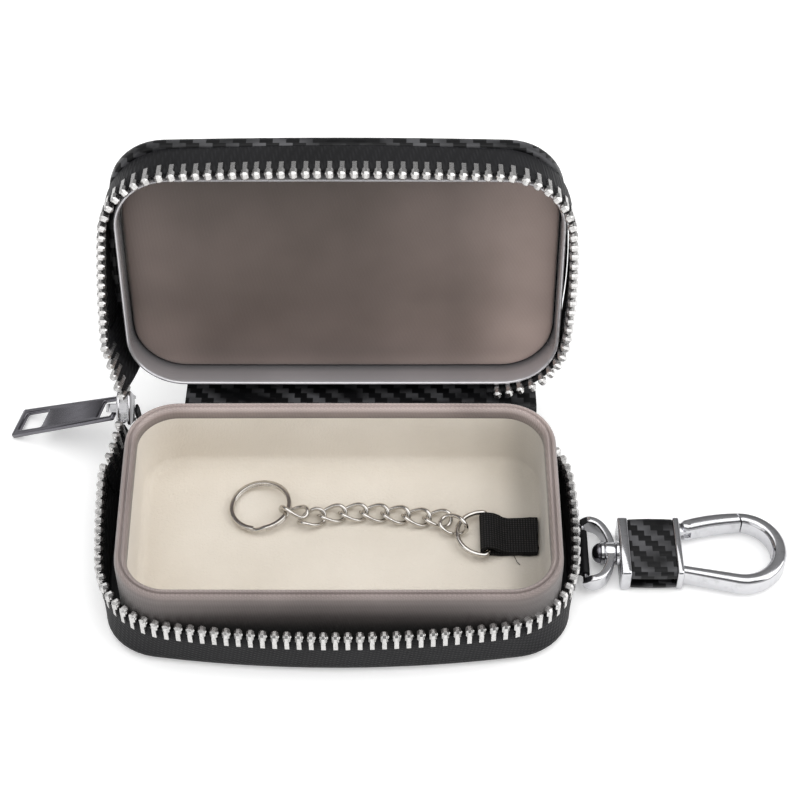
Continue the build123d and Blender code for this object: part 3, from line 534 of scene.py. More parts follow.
def finishPiece(bm, name, finish, body, stands, sharp=40.0, turn=None, clean=True):
    if clean:
        bmesh.ops.remove_doubles(bm, verts=bm.verts, dist=0.000002)
        bmesh.ops.recalc_face_normals(bm, faces=bm.faces)
    if turn is not None:
        bmesh.ops.transform(bm, matrix=turn, verts=bm.verts)
    mesh = bpy.data.meshes.new(name)
    bm.to_mesh(mesh)
    bm.free()
    mesh.shade_smooth()
    mesh.set_sharp_from_angle(angle=math.radians(sharp))
    mesh.materials.append(finishes[finish])
    piece = bpy.data.objects.new(name, mesh)
    bpy.context.scene.collection.objects.link(piece)
    if body:
        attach(piece, body)
    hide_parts(*stands)
    return piece


def skinSolid(name, size, levels, finish, body, stands, turn=None, stepLength=coverStep, ring=False):
    # the levels go round a section and come back to the first, or run from one filled end to the other
    bm = bmesh.new()
    first = traceOutline(bm, size, *levels[0], stepLength)
    last = wrapRound(bm, first, levels[1:] + (levels[:1] if ring else []))
    if not ring:
        for rim in (last, first):
            bmesh.ops.contextual_create(bm, geom=rim)
    return finishPiece(bm, name, finish, body, stands, turn=turn)


def toMiddle(grow, *heights):
    # the last levels of a flat side, drawn in to the middle
    return [(grow, height, share) for height, share in zip(heights, (0.85, 0.6, 0.3))]


traySkew = {"shift": 0.3, "lean": 0.6}


def leanTray(piece):
    # the left side of the tray is a little out of square
    for vert in piece.data.vertices:
        left = min(1.0, max(0.0, -vert.co.x / mm / trayOutline["halfLength"]))
        vert.co.x -= left * (traySkew["shift"] + traySkew["lean"] * vert.co.y / mm / trayOutline["halfDepth"]) * mm


# lofts: a closed loop of points, in mm, carried from station to station

def drawLoop(bm, points):
    # a ring with one vertex at each point, which keeps the number of its point
    spotOf = bm.verts.layers.int.get("spot") or bm.verts.layers.int.new("spot")
    count = len(points)
    ring = bmesh.ops.create_circle(bm, segments=count, radius=mm)["verts"]
    for vert in ring:
        vert[spotOf] = round(math.atan2(vert.co.x, vert.co.y) / math.tau * count) % count
        vert.co = points[vert[spotOf]] * mm
    return ring, list(dict.fromkeys(edge for vert in ring for edge in vert.link_edges)), spotOf


def loft(bm, stations, closed=False):
    _, firstEdges, spotOf = drawLoop(bm, stations[0])
    edges = firstEdges
    for points in stations[1:] + (stations[:1] if closed else []):
        made = bmesh.ops.extrude_edge_only(bm, edges=edges)["geom"]
        verts = {part for part in made if isinstance(part, bmesh.types.BMVert)}
        for vert in verts:
            vert.co = points[vert[spotOf]] * mm
        edges = [part for part in made if isinstance(part, bmesh.types.BMEdge) and verts.issuperset(part.verts)]
    if not closed:
        bmesh.ops.contextual_create(bm, geom=firstEdges)
        bmesh.ops.contextual_create(bm, geom=edges)


def loftPiece(name, finish, body, stands, *runs, closed=False, **how):
    bm = bmesh.new()
    for stations in runs:
        loft(bm, stations, closed)
    return finishPiece(bm, name, finish, body, stands, **how)


def roundedSection(halfWide, halfTall, radius, steps=3):
    points = []
    for number, (across, up) in enumerate(((1, 1), (-1, 1), (-1, -1), (1, -1))):
        for step in range(steps + 1):
            angle = math.radians(90 * (number + step / steps))
            points.append((
                across * (halfWide - radius) + radius * math.cos(angle),
                up * (halfTall - radius) + radius * math.sin(angle),
            ))
    return points


def roundSection(radius, steps):
    turns = [math.tau * step / steps for step in range(steps)]
    return [(radius * math.cos(turn), radius * math.sin(turn)) for turn in turns]


def ribbonSection(halfWide, halfThick, spans=8):
    across = [halfWide * (2 * step / spans - 1) for step in range(spans + 1)]
    top = [(place, halfThick) for place in across]
    bottom = [(place, -halfThick) for place in reversed(across)]
    return top + [(halfWide + 0.6 * halfThick, 0)] + bottom + [(-halfWide - 0.6 * halfThick, 0)]


def stationAt(place, across, up, section):
    return [place + across * first + up * second for first, second in section]


def alongAt(path, number, closed=False):
    # the way from the point before to the point after
    last = len(path) - 1
    before = path[number - 1] if number or closed else path[0]
    return (path[(number + 1) % len(path)] if number < last or closed else path[last]) - before


def alongPath(path, up, section, closed=False):
    # stations on a path, level with one way or with one way for each point
    stations = []
    for number, place in enumerate(path):
        along = alongAt(path, number, closed)
        across = along.cross(up[number] if isinstance(up, list) else up).normalized()
        stations.append(stationAt(place, across, across.cross(along).normalized(), section))
    return stations


def arcPoints(centre, radius, start, end, steps, level=0.0):
    turns = [math.radians(start + (end - start) * step / steps) for step in range(steps + 1)]
    return [
        Vector((centre[0] + radius * math.cos(turn), centre[1] + radius * math.sin(turn), level)) for turn in turns
    ]


def layAt(middle, *turns):
    lay = Matrix.Translation(Vector(middle) * mm)
    for degrees, axis in turns:
        lay = lay @ Matrix.Rotation(math.radians(degrees), 4, axis)
    return lay


def plate(bm, loops, up, thick, edge, rounds=2):
    # a flat plate with holes: the loops filled, given a thickness, and its edges rounded
    drawn, edges = [], []
    for loop in loops:
        ring, ringEdges, _ = drawLoop(bm, [place - up * thick / 2 for place in loop])
        drawn += ring
        edges += ringEdges
    filled = bmesh.ops.triangle_fill(bm, use_beauty=True, use_dissolve=False, edges=edges, normal=up)
    faces = [part for part in filled["geom"] if isinstance(part, bmesh.types.BMFace)]
    raised = bmesh.ops.extrude_face_region(bm, geom=faces, use_keep_orig=True)["geom"]
    risen = [part for part in raised if isinstance(part, bmesh.types.BMVert)]
    bmesh.ops.translate(bm, verts=risen, vec=up * thick * mm)
    whole = drawn + risen
    around = list(dict.fromkeys(face for vert in whole for face in vert.link_faces))
    bmesh.ops.recalc_face_normals(bm, faces=around)
    if edge:
        rims = [
            part for part in dict.fromkeys(part for vert in whole for part in vert.link_edges)
            if part.is_manifold and part.calc_face_angle() > math.radians(50)
        ]
        bmesh.ops.bevel(
            bm, geom=rims, offset=edge * mm, offset_type="OFFSET", segments=rounds, profile=0.5, affect="EDGES"
        )


# how far to the left the zip, the covers and the lid sit
sideShift, lidSideShift = 0.6, 0.9
rowShift = Matrix.Translation((-sideShift * mm, 0, 0))
lidShift = Matrix.Translation((-lidSideShift * mm, 0, 0))

# tray: satin over a board, with a ridge along the rim

trayLevels = [
    (-2.2, 2.35), (-0.4, 2.35), (0, 2.8), (0, 12.0), (0, 21.6), (-0.08, 22.5), (-0.3, 23.15), (-0.7, 23.5),
    (-1.1, 23.5), (-1.36, 23.1), (-1.56, 23.05), (-1.82, 23.52), (-2.2, 23.62), (-2.6, 23.3), (-2.85, 22.7),
    (-2.9, 21.5), (-2.85, 19.6), (-2.2, 19.4),
]
tray = skinSolid(
    "trayCover", trayOutline, trayLevels, "traySatin", "base", ["tray_frame"], stepLength=fineStep, ring=True
)
leanTray(tray)

liningSettings = {"top": 20.5, "cove": 2.6, "wall": -2.95, "floor": 3.9, "step": 1.2, "thick": 0.4}
liningTop, liningWall, liningFloor = (liningSettings[key] for key in ("top", "wall", "floor"))
liningLevels = [(-2.9, liningTop), (-3.05, liningTop - 0.6), (liningWall, 14.0), (liningWall, 9.0)]
for step in range(7):
    bend = math.radians(15 * step)
    reach = liningSettings["cove"]
    liningLevels.append((liningWall - reach * (1 - math.cos(bend)), liningFloor + reach * (1 - math.sin(bend))))
liningLevels += [(-7.0, liningFloor)] + toMiddle(-7.0, *[liningFloor] * 3)
bm = bmesh.new()
rimEdges = traceOutline(bm, trayOutline, -2.55, liningTop - 0.4, liningSettings["step"])
bmesh.ops.contextual_create(bm, geom=wrapRound(bm, rimEdges, liningLevels))
lining = finishPiece(bm, "feltLining", "felt", "base", ["tray_lining"])
leanTray(lining)
thicken = lining.modifiers.new("thickness", "SOLIDIFY")
thicken.thickness = liningSettings["thick"] * mm
thicken.offset = -1
print("tray ready")

# lid: grey rolled frame and crowned satin panel

frameLevels = [
    (-0.3, 28.4), (0, 28.0), (0, 20.0), (0.02, 18.9), (-0.1, 18.2), (-0.35, 17.85), (-0.65, 17.78), (-0.88, 17.95),
    (-1.0, 18.4), (-1.02, 19.4), (-1.02, 24.8), (-0.8, 28.4),
]
skinSolid(
    "lidFrameCover", frameOutline, frameLevels, "greySatin", "lid", ["lid_frame"], openLid, fineStep, ring=True
)
panelLevels = [
    (-1.45, 25.7), (-1.42, 25.0), (-1.5, 24.5), (-1.75, 24.12), (-2.2, 23.92), (-3.0, 23.82), (-4.5, 23.75),
    (-7.5, 23.68), *toMiddle(-7.5, 23.66, 23.66, 23.66),
]
lidPanel = skinSolid(
    "lidPanelCushion", frameOutline, panelLevels, "satin", "lid", ["lid_panel"], openLid, fineStep
)
print("lid ready")

# zip: tapes and teeth

zipSettings = {
    "pitch": 2.8, "mesh": 15.1, "leftEnd": 18.0, "rightEnd": 47.0, "lidRightEnd": 36.5, "tapeThick": 0.6,
    "backFrom": 25.0, "backInset": 0.75, "samples": 1600, "near": 5.0,
}


flareSettings = {"side": -40.0, "fade": 12.0, "front": -20.0, "back": 18.0, "low": 3.0, "rise": 8.0, "most": 2.6}


def flareAt(x, y, z):
    # the opened left side of the zip spreads outward towards the back
    size = flareSettings
    if x > size["side"] or y < size["front"]:
        return 0.0
    back = (min(y, size["back"]) - size["front"]) / (size["back"] - size["front"])
    left, up = (size["side"] - x) / size["fade"], (z - size["low"]) / size["rise"]
    return -size["most"] * back**2 * min(1.0, left) * min(1.0, max(0.0, up))


def flareLeft(piece, shut=False):
    for vert in piece.data.vertices:
        x, y, z = (openLid.inverted() @ vert.co if shut else vert.co) / mm
        vert.co.x += flareAt(x, y, 2 * zipSettings["mesh"] - z if shut else z) * mm


def makeTape(name, body, stands, turn, shut):
    # shut turns a height above the base into the same height below the lid
    bm = bmesh.new()
    profile = [(-0.25, 2.2), (0.0, 3.0), (0.12, 4.2), (0.12, 6.0), (0.02, 9.0), (-0.05, 12.9)]
    levels = [(grow, 2 * zipSettings["mesh"] - height if shut else height) for grow, height in profile]
    edges = traceOutline(bm, lidRowOutline if shut else rowOutline, *levels[0], fineStep)
    wrapRound(bm, edges, levels[1:])
    rightEnd, leftEnd = zipSettings["lidRightEnd" if shut else "rightEnd"] * mm, zipSettings["leftEnd"] * mm
    for planeAt, planeWay in ((rightEnd, rightWay), (leftEnd, backWay)):
        bmesh.ops.bisect_plane(
            bm, geom=bm.verts[:] + bm.edges[:] + bm.faces[:], plane_co=planeWay * planeAt, plane_no=planeWay
        )
    middles = [(face, face.calc_center_median()) for face in bm.faces]
    dropped = [face for face, middle in middles if middle.x < rightEnd and middle.y > leftEnd]
    bmesh.ops.delete(bm, geom=dropped, context="FACES")
    tape = finishPiece(bm, name, "tape", body, stands, turn=turn)
    thick = tape.modifiers.new("thickness", "SOLIDIFY")
    thick.thickness = zipSettings["tapeThick"] * mm
    thick.offset = 0
    return tape


baseTape = makeTape("baseTape", "base", ["base_zip_tape"], rowShift, False)
flareLeft(baseTape)
footSettings = {"top": 10.0, "drop": 7.8, "bend": 1.4, "samples": 900}
footPlaces = placesRound(baseOutline, footSettings["samples"])
for vert in baseTape.data.vertices:
    # the foot of the tape runs out to the edge of the cover
    foot = max(0.0, min(1.0, (footSettings["top"] - vert.co.z / mm) / footSettings["drop"])) ** footSettings["bend"]
    if foot > 0:
        at = Vector((vert.co.x / mm + sideShift, vert.co.y / mm, 0))
        move = min((spot - at for spot in footPlaces), key=lambda way: way.length) * foot
        vert.co += Vector((move.x, move.y, 0)) * mm
lidTape = makeTape("lidTape", "lid", ["lid_zip_tape"], openLid @ rowShift, True)
flareLeft(lidTape, shut=True)

toothSettings = {
    "head": (2.15, 1.7, 2.7), "headMiddle": -1.0, "bevel": 0.5, "bump": 0.6, "bumpAt": (0, 0.6, -0.85),
    "leg": (0.55, 1.05, 3.1), "legMiddle": -3.1, "legSide": 0.62,
}


def makeTooth():
    tooth = bmesh.new()
    size = toothSettings
    blocks = [((0, 0, size["headMiddle"]), size["head"])]
    blocks += [((side * size["legSide"], 0, size["legMiddle"]), size["leg"]) for side in (-1, 1)]
    for number, (middle, shape) in enumerate(blocks):
        block = bmesh.ops.create_cube(tooth, size=1.0)["verts"]
        place = Matrix.Translation(middle) @ Matrix.Diagonal((*shape, 1))
        bmesh.ops.transform(tooth, matrix=place, verts=block)
        if number == 0:
            bmesh.ops.bevel(
                tooth, geom=tooth.edges[:], offset=size["bevel"], offset_type="OFFSET", segments=1, profile=0.5,
                affect="EDGES",
            )
            bump = bmesh.ops.create_icosphere(tooth, subdivisions=1, radius=size["bump"])["verts"]
            bmesh.ops.translate(tooth, verts=bump, vec=size["bumpAt"])
    bmesh.ops.transform(tooth, matrix=Matrix.Scale(mm, 4), verts=tooth.verts)
    mesh = bpy.data.meshes.new("toothPattern")
    tooth.to_mesh(mesh)
    tooth.free()
    return mesh


toothPattern = makeTooth()


def placeTooth(bm, place, out, rise):
    side = rise.cross(out).normalized()
    stand = Matrix((out, side, out.cross(side))).transposed().to_4x4()
    stand.translation = place * mm
    before = len(bm.verts)
    bm.from_mesh(toothPattern)
    bm.verts.ensure_lookup_table()
    bmesh.ops.transform(bm, matrix=stand, verts=bm.verts[before:])


def makeTeeth(name, body, stands, turn, shift, downward):
    bm = bmesh.new()
    length = outlineLength(rowOutline)
    lidPlaces = placesRound(lidRowOutline, zipSettings["samples"]) if downward else []
    count = round(length / zipSettings["pitch"])
    for number in range(count):
        place, outward = alongOutline(rowOutline, (number + shift) * length / count)
        if downward:
            near = [spot for spot in lidPlaces if (spot - place).length < zipSettings["near"]]
            place = min(near, key=lambda spot: (spot - place).cross(outward).length)
        if place.y > zipSettings["leftEnd"] and place.x < zipSettings["lidRightEnd" if downward else "rightEnd"]:
            continue
        if place.y > zipSettings["backFrom"] and place.x < zipSettings["rightEnd"]:
            place = place - outward * zipSettings["backInset"]
        placeTooth(bm, Vector((place.x, place.y, zipSettings["mesh"])), outward, upWay * (-1 if downward else 1))
    return finishPiece(bm, name, "teeth", body, stands, turn=turn, sharp=35, clean=False)


baseTeeth = makeTeeth("baseTeeth", "base", ["base_zip_teeth"], rowShift, 0.0, False)
flareLeft(baseTeeth)
lidTeeth = makeTeeth("lidTeeth", "lid", ["lid_zip_teeth"], openLid @ rowShift, 0.5, True)
flareLeft(lidTeeth, shut=True)
print("zip ready")

# free zip at the back left corner, where each tape leaves its rim and runs to the slider

freeZip = {
    "mouthWay": (-0.22, -0.64, 0.74), "acrossWay": (0.01, 0.79, 0.61), "bow": 0.5, "halfThick": 0.3,
    "lidMouth": (-54.9, 32.5, 21.4), "baseMouth": (-55.0, 28.5, 18.4), "crotch": 2.2, "lap": 2.5, "parts": 6,
    "leftRun": (0.55, 0.3, 600), "leave": 5.0, "straight": 0.87, "steps": 17,
}


def openPlace(x, y, z):
    return openLid @ (Vector((x, y, z)) * mm) / mm


def curveBetween(start, startWay, end, endWay, steps):
    return geometry.interpolate_bezier(start, start + startWay, end + endWay, end, steps)


def outlineRun(size, grow, height, firstY, lastX, steps):
    # along the left side and round the back corner
    total = outlineLength(size)
    begin, share, samples = freeZip["leftRun"]
    picked = []
    for step in range(samples):
        place, outward = alongOutline(size, total * (begin + share * step / samples))
        place = place + outward * grow
        if place.y > firstY and place.x < lastX:
            picked.append(Vector((place.x - sideShift, place.y, height)))
    picked.reverse()
    return [picked[round(number * (len(picked) - 1) / steps)] for number in range(steps + 1)]


def outwardFrom(rise, along, outer):
    out = rise.cross(along).normalized()
    return -out if out.dot(outer) < 0 else out


def makeFreeZip(name, row, rim, outer, shift):
    steps = len(row) - 1
    parts = freeZip["parts"]
    stations = []
    for number in range(steps + 1):
        rise = (row[number] - rim[number]).normalized()
        out = outwardFrom(rise, alongAt(row, number).normalized(), outer)
        top = row[number] - rise * freeZip["crotch"]
        spans = [
            top.lerp(rim[number], part / parts) - out * freeZip["bow"] * math.sin(math.pi * part / parts)
            for part in range(parts + 1)
        ]
        half = out * freeZip["halfThick"]
        stations.append([place + half for place in spans] + [place - half for place in reversed(spans)])
    # it starts inside the end of the fixed tape
    lap = (row[0] - row[1]).normalized() * freeZip["lap"]
    stations.insert(0, [place + lap for place in stations[0]])
    tape = loftPiece(name + "Tape", "tape", None, ["zip_tail"], stations)
    teeth = bmesh.new()
    reach = 0.0
    due = zipSettings["pitch"] * shift
    for number in range(1, steps + 1):
        along = row[number] - row[number - 1]
        while due <= reach + along.length:
            share = (due - reach) / along.length
            place = row[number - 1].lerp(row[number], share)
            rise = (place - rim[number - 1].lerp(rim[number], share)).normalized()
            placeTooth(teeth, place, outwardFrom(rise, along.normalized(), outer), rise)
            due += zipSettings["pitch"]
        reach += along.length
    return tape, finishPiece(teeth, name + "Teeth", "teeth", None, ["zip_tail"], sharp=35, clean=False)


mouthWay = Vector(freeZip["mouthWay"]).normalized()
mouthAcross = Vector(freeZip["acrossWay"]).normalized()


def rowStart(size):
    # the two last places of a fixed row
    places = outlineRun(size, 0, zipSettings["mesh"], zipSettings["leftEnd"], -50, 40)[:2]
    for place in places:
        place.x += flareAt(*place)
    return places


def freeRow(first, second, mouthAt, spread, reach):
    # from the fixed row, the way that it points, into the mouth of the slider
    leave = (second - first).normalized() * freeZip["leave"]
    enter = (mouthWay * freeZip["straight"] + mouthAcross * spread) * reach
    return curveBetween(first, leave, Vector(mouthAt), enter, freeZip["steps"])


lidRow = freeRow(*[openPlace(*place) for place in rowStart(lidRowOutline)], freeZip["lidMouth"], 0.5, 4.0)
baseRow = freeRow(*rowStart(rowOutline), freeZip["baseMouth"], -0.5, 3.5)
rimRun = (zipSettings["leftEnd"] - 2.0, -50.5, 16)
lidRim = [openPlace(*place) for place in outlineRun(lidOutline, -0.2, 27.4, *rimRun)]
for piece in makeFreeZip("freeLidZip", lidRow, lidRim, Vector((-1, -0.3, 0)), 0.5):
    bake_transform(piece)
baseRim = outlineRun(baseOutline, -0.2, 3.0, *rimRun)
for piece in makeFreeZip("freeBaseZip", baseRow, baseRim, Vector((-1, 0.2, 0)), 0.5):
    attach(piece, "base")

# closed zip below the slider, down to the rim
tailTop = Vector((-52.63, 37.33, 12.0))
tailFoot = Vector((-50.9, 29.4, 3.05))
tailPath = curveBetween(tailTop, Vector((0.5, 1.2, -3.0)), tailFoot, Vector((0, 2.2, 2.6)), 10)
tailStations = alongPath(tailPath, Vector((0.97, -0.15, 0.16)), ribbonSection(1.1, 0.35))
loftPiece("zipTailCover", "tape", "base", ["zip_tail"], tailStations)
print("free zip ready")

# leather covers, turned in over the rims, with a board and a shield inside

baseLevels = [
    (-6.0, 2.33), (-4.0, 2.36), (-1.8, 2.4), (-1.1, 2.5), (-0.7, 2.52), (-0.35, 2.45), (-0.12, 2.25), (-0.03, 1.95),
    (-0.02, 1.7), (-0.15, 1.4), (-0.5, 0.8), (-1.1, 0.3), (-1.9, 0.06), (-2.6, 0.0), *toMiddle(-2.6, 0.0, 0.0, 0.0),
]
lidLevels = [
    (-5.2, 28.62), (-3.0, 28.6), (-1.6, 28.5), (-1.5, 27.6), (-1.3, 27.15), (-0.8, 27.05), (-0.3, 27.12),
    (-0.02, 27.4), (0.12, 28.2), (0.2, 29.2), (0.12, 30.0), (-0.25, 30.5), (-1.0, 30.75), (-2.2, 30.82),
    (-4.0, 30.85), *toMiddle(-4.0, 30.87, 30.9, 30.92),
]
for coverName, coverFinish, node, levels in (
    ("baseCover", "leather", "base_shell", baseLevels),
    ("baseBoard", "padding", "base_board", [(-3.8, 1.25), (-3.8, 1.95)]),
    ("baseLining", "steel", "base_shield", [(-2.6, 2.0), (-2.6, 2.28)]),
):
    skinSolid(coverName, baseOutline, levels, coverFinish, "base", [node], rowShift)
for coverName, coverFinish, node, levels in (
    ("lidCover", "carbon", "lid_shell", lidLevels),
    ("lidLining", "steel", "lid_shield", [(-2.4, 28.22), (-2.4, 28.48)]),
):
    skinSolid(coverName, lidOutline, levels, coverFinish, "lid", [node], openLid @ lidShift)
print("covers ready")

# hinge strip: one piece of leather, bent where the lid turns

stripSettings = {"left": -40.0, "right": 48.5, "thick": 0.5, "spans": 34, "wave": 0.05, "ripple": 0.7, "endShare": 0.5}
stripPath = [Vector((0, 35.06, height)) for height in (2.0, 4.5, 7.0, 9.5, 11.4)]
stripPath += [Vector((0, 35.18, 12.6)), Vector((0, 35.6, 13.55)), Vector((0, 36.4, 14.2))]
stripPath += [openPlace(0, 35.06, height) for height in (15.6, 17.0, 19.5, 22.0, 25.0, 28.2)]
spans = stripSettings["spans"]
stations = []
for step in range(spans + 1):
    x = stripSettings["left"] + (stripSettings["right"] - stripSettings["left"]) * step / spans
    thin = stripSettings["thick"] * (stripSettings["endShare"] if step in (0, spans) else 1.0)
    sides = [alongAt(stripPath, number).cross(rightWay).normalized() for number in range(len(stripPath))]
    middles = [
        Vector((x, place.y, place.z)) + side * stripSettings["wave"] * math.sin(x * stripSettings["ripple"] + number)
        for number, (place, side) in enumerate(zip(stripPath, sides))
    ]
    front = [at + side * thin for at, side in zip(middles, sides)]
    back = [at - side * thin for at, side in zip(middles, sides)]
    stations.append(front + back[::-1])
hingeStrip = loftPiece("hingeStrip", "carbon", None, ["hinge_strip_lower", "hinge_strip_upper"], stations)
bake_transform(hingeStrip)
print("hinge strip ready")

# key chain: curb links, split ring, D ring and its strap

linkSettings = {
    "halfLength": 3.35, "halfWidth": 2.25, "wire": 0.53, "twist": 45.0, "square": 2.35, "steps": 36,
    "places": (
        ((27.2, 4.43, 6.54), -20.1, 39.4), ((23.33, 7.2, 5.42), -2.2, 0), ((18.18, 7.7, 5.42), -8.8, 0),
        ((13.03, 8.45, 5.42), -7.7, 0), ((7.85, 8.98, 5.42), -3.9, 0), ((2.65, 9.08, 5.42), 1.7, 0),
        ((-2.53, 8.6, 5.42), 8.8, 0), ((-7.5, 7.23, 5.42), 22.1, 0), ((-11.87, 8.66, 6.62), -10.1, -36.1),
    ),
}


def linkPoint(turn):
    power = 2 / linkSettings["square"]
    along = math.copysign(abs(math.cos(turn)) ** power, math.cos(turn))
    across = math.copysign(abs(math.sin(turn)) ** power, math.sin(turn))
    roll = math.radians(linkSettings["twist"]) * along
    wide = linkSettings["halfWidth"] * across
    return Vector((linkSettings["halfLength"] * along, wide * math.cos(roll), wide * math.sin(roll)))


linkPath = [linkPoint(math.tau * (step + 0.5) / linkSettings["steps"]) for step in range(linkSettings["steps"])]
linkUps = [
    place.cross(alongAt(linkPath, number, closed=True)).normalized() for number, place in enumerate(linkPath)
]
linkStations = alongPath(linkPath, linkUps, roundSection(linkSettings["wire"], 12), closed=True)
for number, (middle, heading, roll) in enumerate(linkSettings["places"], 1):
    loftPiece(
        f"curbLink{number}", "chainNickel", f"link_{number}", [f"chain_link_{number}"], linkStations,
        closed=True, sharp=60, turn=layAt(middle, (heading, "Z"), (roll, "X")),
    )

splitRing = {
    "middle": (-20.2, 10.8, 5.76), "radius": 7.15, "coil": 0.36, "tilt": 6.1, "stepAt": -90.0, "stepHalf": 13.0,
    "steps": 150, "section": (0.55, 0.33, 0.2),
}
stations = []
first = splitRing["stepAt"] + splitRing["stepHalf"] * 0.9
for step in range(splitRing["steps"] + 1):
    turn = first + (720 - 1.8 * splitRing["stepHalf"]) * step / splitRing["steps"]
    share = (turn - splitRing["stepAt"] - 360) / splitRing["stepHalf"]
    level = splitRing["coil"] * math.sin(min(1.0, max(-1.0, share)) * math.pi / 2)
    outward = Vector((math.cos(math.radians(turn)), math.sin(math.radians(turn)), 0))
    place = outward * splitRing["radius"] + upWay * level
    stations.append(stationAt(place, outward, upWay, roundedSection(*splitRing["section"])))
loftPiece(
    "splitRing", "chainNickel", "key_ring", ["key_ring"], stations,
    turn=layAt(splitRing["middle"], (-splitRing["tilt"], "Y")),
)

innerRing = {
    "middle": (35.3, 2.2, 5.85), "wire": 0.625, "tilt": 3.1, "radius": 6.544, "arcAt": -0.756, "corner": 0.9,
    "cornerY": 5.642, "bar": (-5.4, 11.04),
}
barFrom, barLength = innerRing["bar"]
corner, cornerY = innerRing["corner"], innerRing["cornerY"]
ringPath = [Vector((0, barFrom + barLength * step / 8, 0)) for step in range(9)]
ringPath += arcPoints((-corner, cornerY), corner, 0, 91.5, 6)[1:]
ringPath += arcPoints((innerRing["arcAt"], 0), innerRing["radius"], 91.5, 268.5, 40)[1:]
ringPath += arcPoints((-corner, -cornerY), corner, 268.5, 356, 6)[1:]
loftPiece(
    "chainDRing", "chainNickel", "inner_ring", ["inner_d_ring"],
    alongPath(ringPath, upWay, roundSection(innerRing["wire"], 14)),
    turn=layAt(innerRing["middle"], (innerRing["tilt"], "Y")),
)

strapSettings = {
    "y": 2.2, "halfWidth": 5.3, "halfThick": 0.4, "spans": 12, "fray": 0.28, "eye": (35.3, 5.85),
    "eyeRadii": (1.36, 1.4), "upper": 4.8, "dip": 0.35, "dipAt": 41.5, "dipHalf": 2.6, "wave": 0.12, "ripple": 1.7,
}
strapPath = [(47.5, 4.36), (45.5, 4.34), (43.0, 4.34), (40.5, 4.34), (38.2, 4.36), (36.6, 4.42)]
(eyeX, eyeZ), (eyeHalf, eyeTall) = strapSettings["eye"], strapSettings["eyeRadii"]
strapPath += [
    (eyeX + eyeHalf * math.cos(math.radians(turn)), eyeZ + eyeTall * math.sin(math.radians(turn)))
    for turn in range(-90, -281, -19)
]
strapPath += [
    (36.9, 6.92), (38.1, 6.15), (39.2, 5.5), (40.4, 5.26), (42.0, 5.2), (44.0, 5.2), (46.0, 5.2), (47.7, 5.22),
]
strapLine = [Vector((x, 0, z)) for x, z in strapPath]
size = strapSettings
halfWidth, most = size["halfWidth"], size["fray"]
random.seed(11)
fray = [random.uniform(-most, most) for _ in range(2 * size["spans"] + 4)]
stations = []
for number, (x, z) in enumerate(strapPath):
    up = backWay.cross(alongAt(strapLine, number).normalized())
    dip = size["dip"] * math.exp(-((x - size["dipAt"]) / size["dipHalf"]) ** 2) if z > size["upper"] else 0.0
    wide = halfWidth + size["wave"] * math.sin(x * size["ripple"])
    section = ribbonSection(wide, size["halfThick"], size["spans"])
    ring = []
    for spot, (across, rise) in enumerate(section):
        narrowed = across - (dip if across > 0 else 0.0) * abs(across) / halfWidth
        end = fray[spot % len(fray)] if number in (0, len(strapPath) - 1) else 0.0
        ring.append(Vector((x + end, size["y"] + narrowed, z)) + up * rise)
    stations.append(ring)
thread = [Vector(place) for place in ((41.2, -3.0, 5.3), (41.9, -4.4, 5.0), (42.4, -5.2, 4.4), (43.1, -5.9, 4.15))]
strap = loftPiece(
    "ringStrap", "webbing", "base", ["webbing_strap"], stations, alongPath(thread, upWay, roundSection(0.09, 6))
)
print("key chain ready")

# outer ring, its leather tab, the swivel and the clip

clipAt = Vector((0, -2.1, 3.75))


def turnedStations(profile, count=36):
    # a profile of places along the swivel and radii, carried round
    return [
        stationAt(clipAt + rightWay * x, backWay, upWay, roundSection(radius, count)) for x, radius in profile
    ]


outerRing = {
    "middle": 59.9, "bar": 58.76, "barRadius": 0.65, "barHalf": 8.6, "band": 1.9, "height": 4.5, "corner": 5.0,
    "cornerY": 4.85, "bend": 14.09, "tip": 6.4, "thin": 0.7, "turn": 115, "thinFrom": -1.79, "thinOver": 2.65,
    "soft": 0.42,
}
cornerY, bend, halfBand = outerRing["cornerY"], outerRing["bend"], outerRing["band"] / 2
lean = math.degrees(math.asin(cornerY / (bend - outerRing["corner"])))
midCorner = outerRing["corner"] - halfBand
ringPath = arcPoints((0, -cornerY), midCorner, -outerRing["turn"], -lean, 12)
ringPath += arcPoints((outerRing["tip"] - bend, 0), bend - halfBand, -lean, lean, 24)[1:]
ringPath += arcPoints((0, cornerY), midCorner, lean, outerRing["turn"], 12)[1:]
stations = []
for number, place in enumerate(ringPath):
    outward = alongAt(ringPath, number).cross(upWay).normalized()
    rise = min(1.0, max(0.0, (place.x - outerRing["thinFrom"]) / outerRing["thinOver"]))
    half = outerRing["thin"] + (outerRing["height"] / 2 - outerRing["thin"]) * math.sin(rise * math.pi / 2)
    at = place + clipAt + rightWay * outerRing["middle"]
    stations.append(stationAt(at, outward, upWay, roundedSection(halfBand, half, outerRing["soft"], 4)))
barHalf = outerRing["barHalf"]
bar = [clipAt + Vector((outerRing["bar"], -barHalf + 2 * barHalf * step / 6, 0)) for step in range(7)]
bm = bmesh.new()
loft(bm, stations)
loft(bm, alongPath(bar, upWay, roundSection(outerRing["barRadius"], 14)))
loft(bm, turnedStations([
    (63.65, 1.58), (63.65, 2.5), (63.8, 2.72), (64.1, 2.8), (65.9, 2.8), (66.2, 2.72), (66.35, 2.5), (66.35, 1.58),
]), closed=True)
finishPiece(bm, "outerDRing", "nickel", "outer_ring", ["outer_d_ring"], sharp=50)

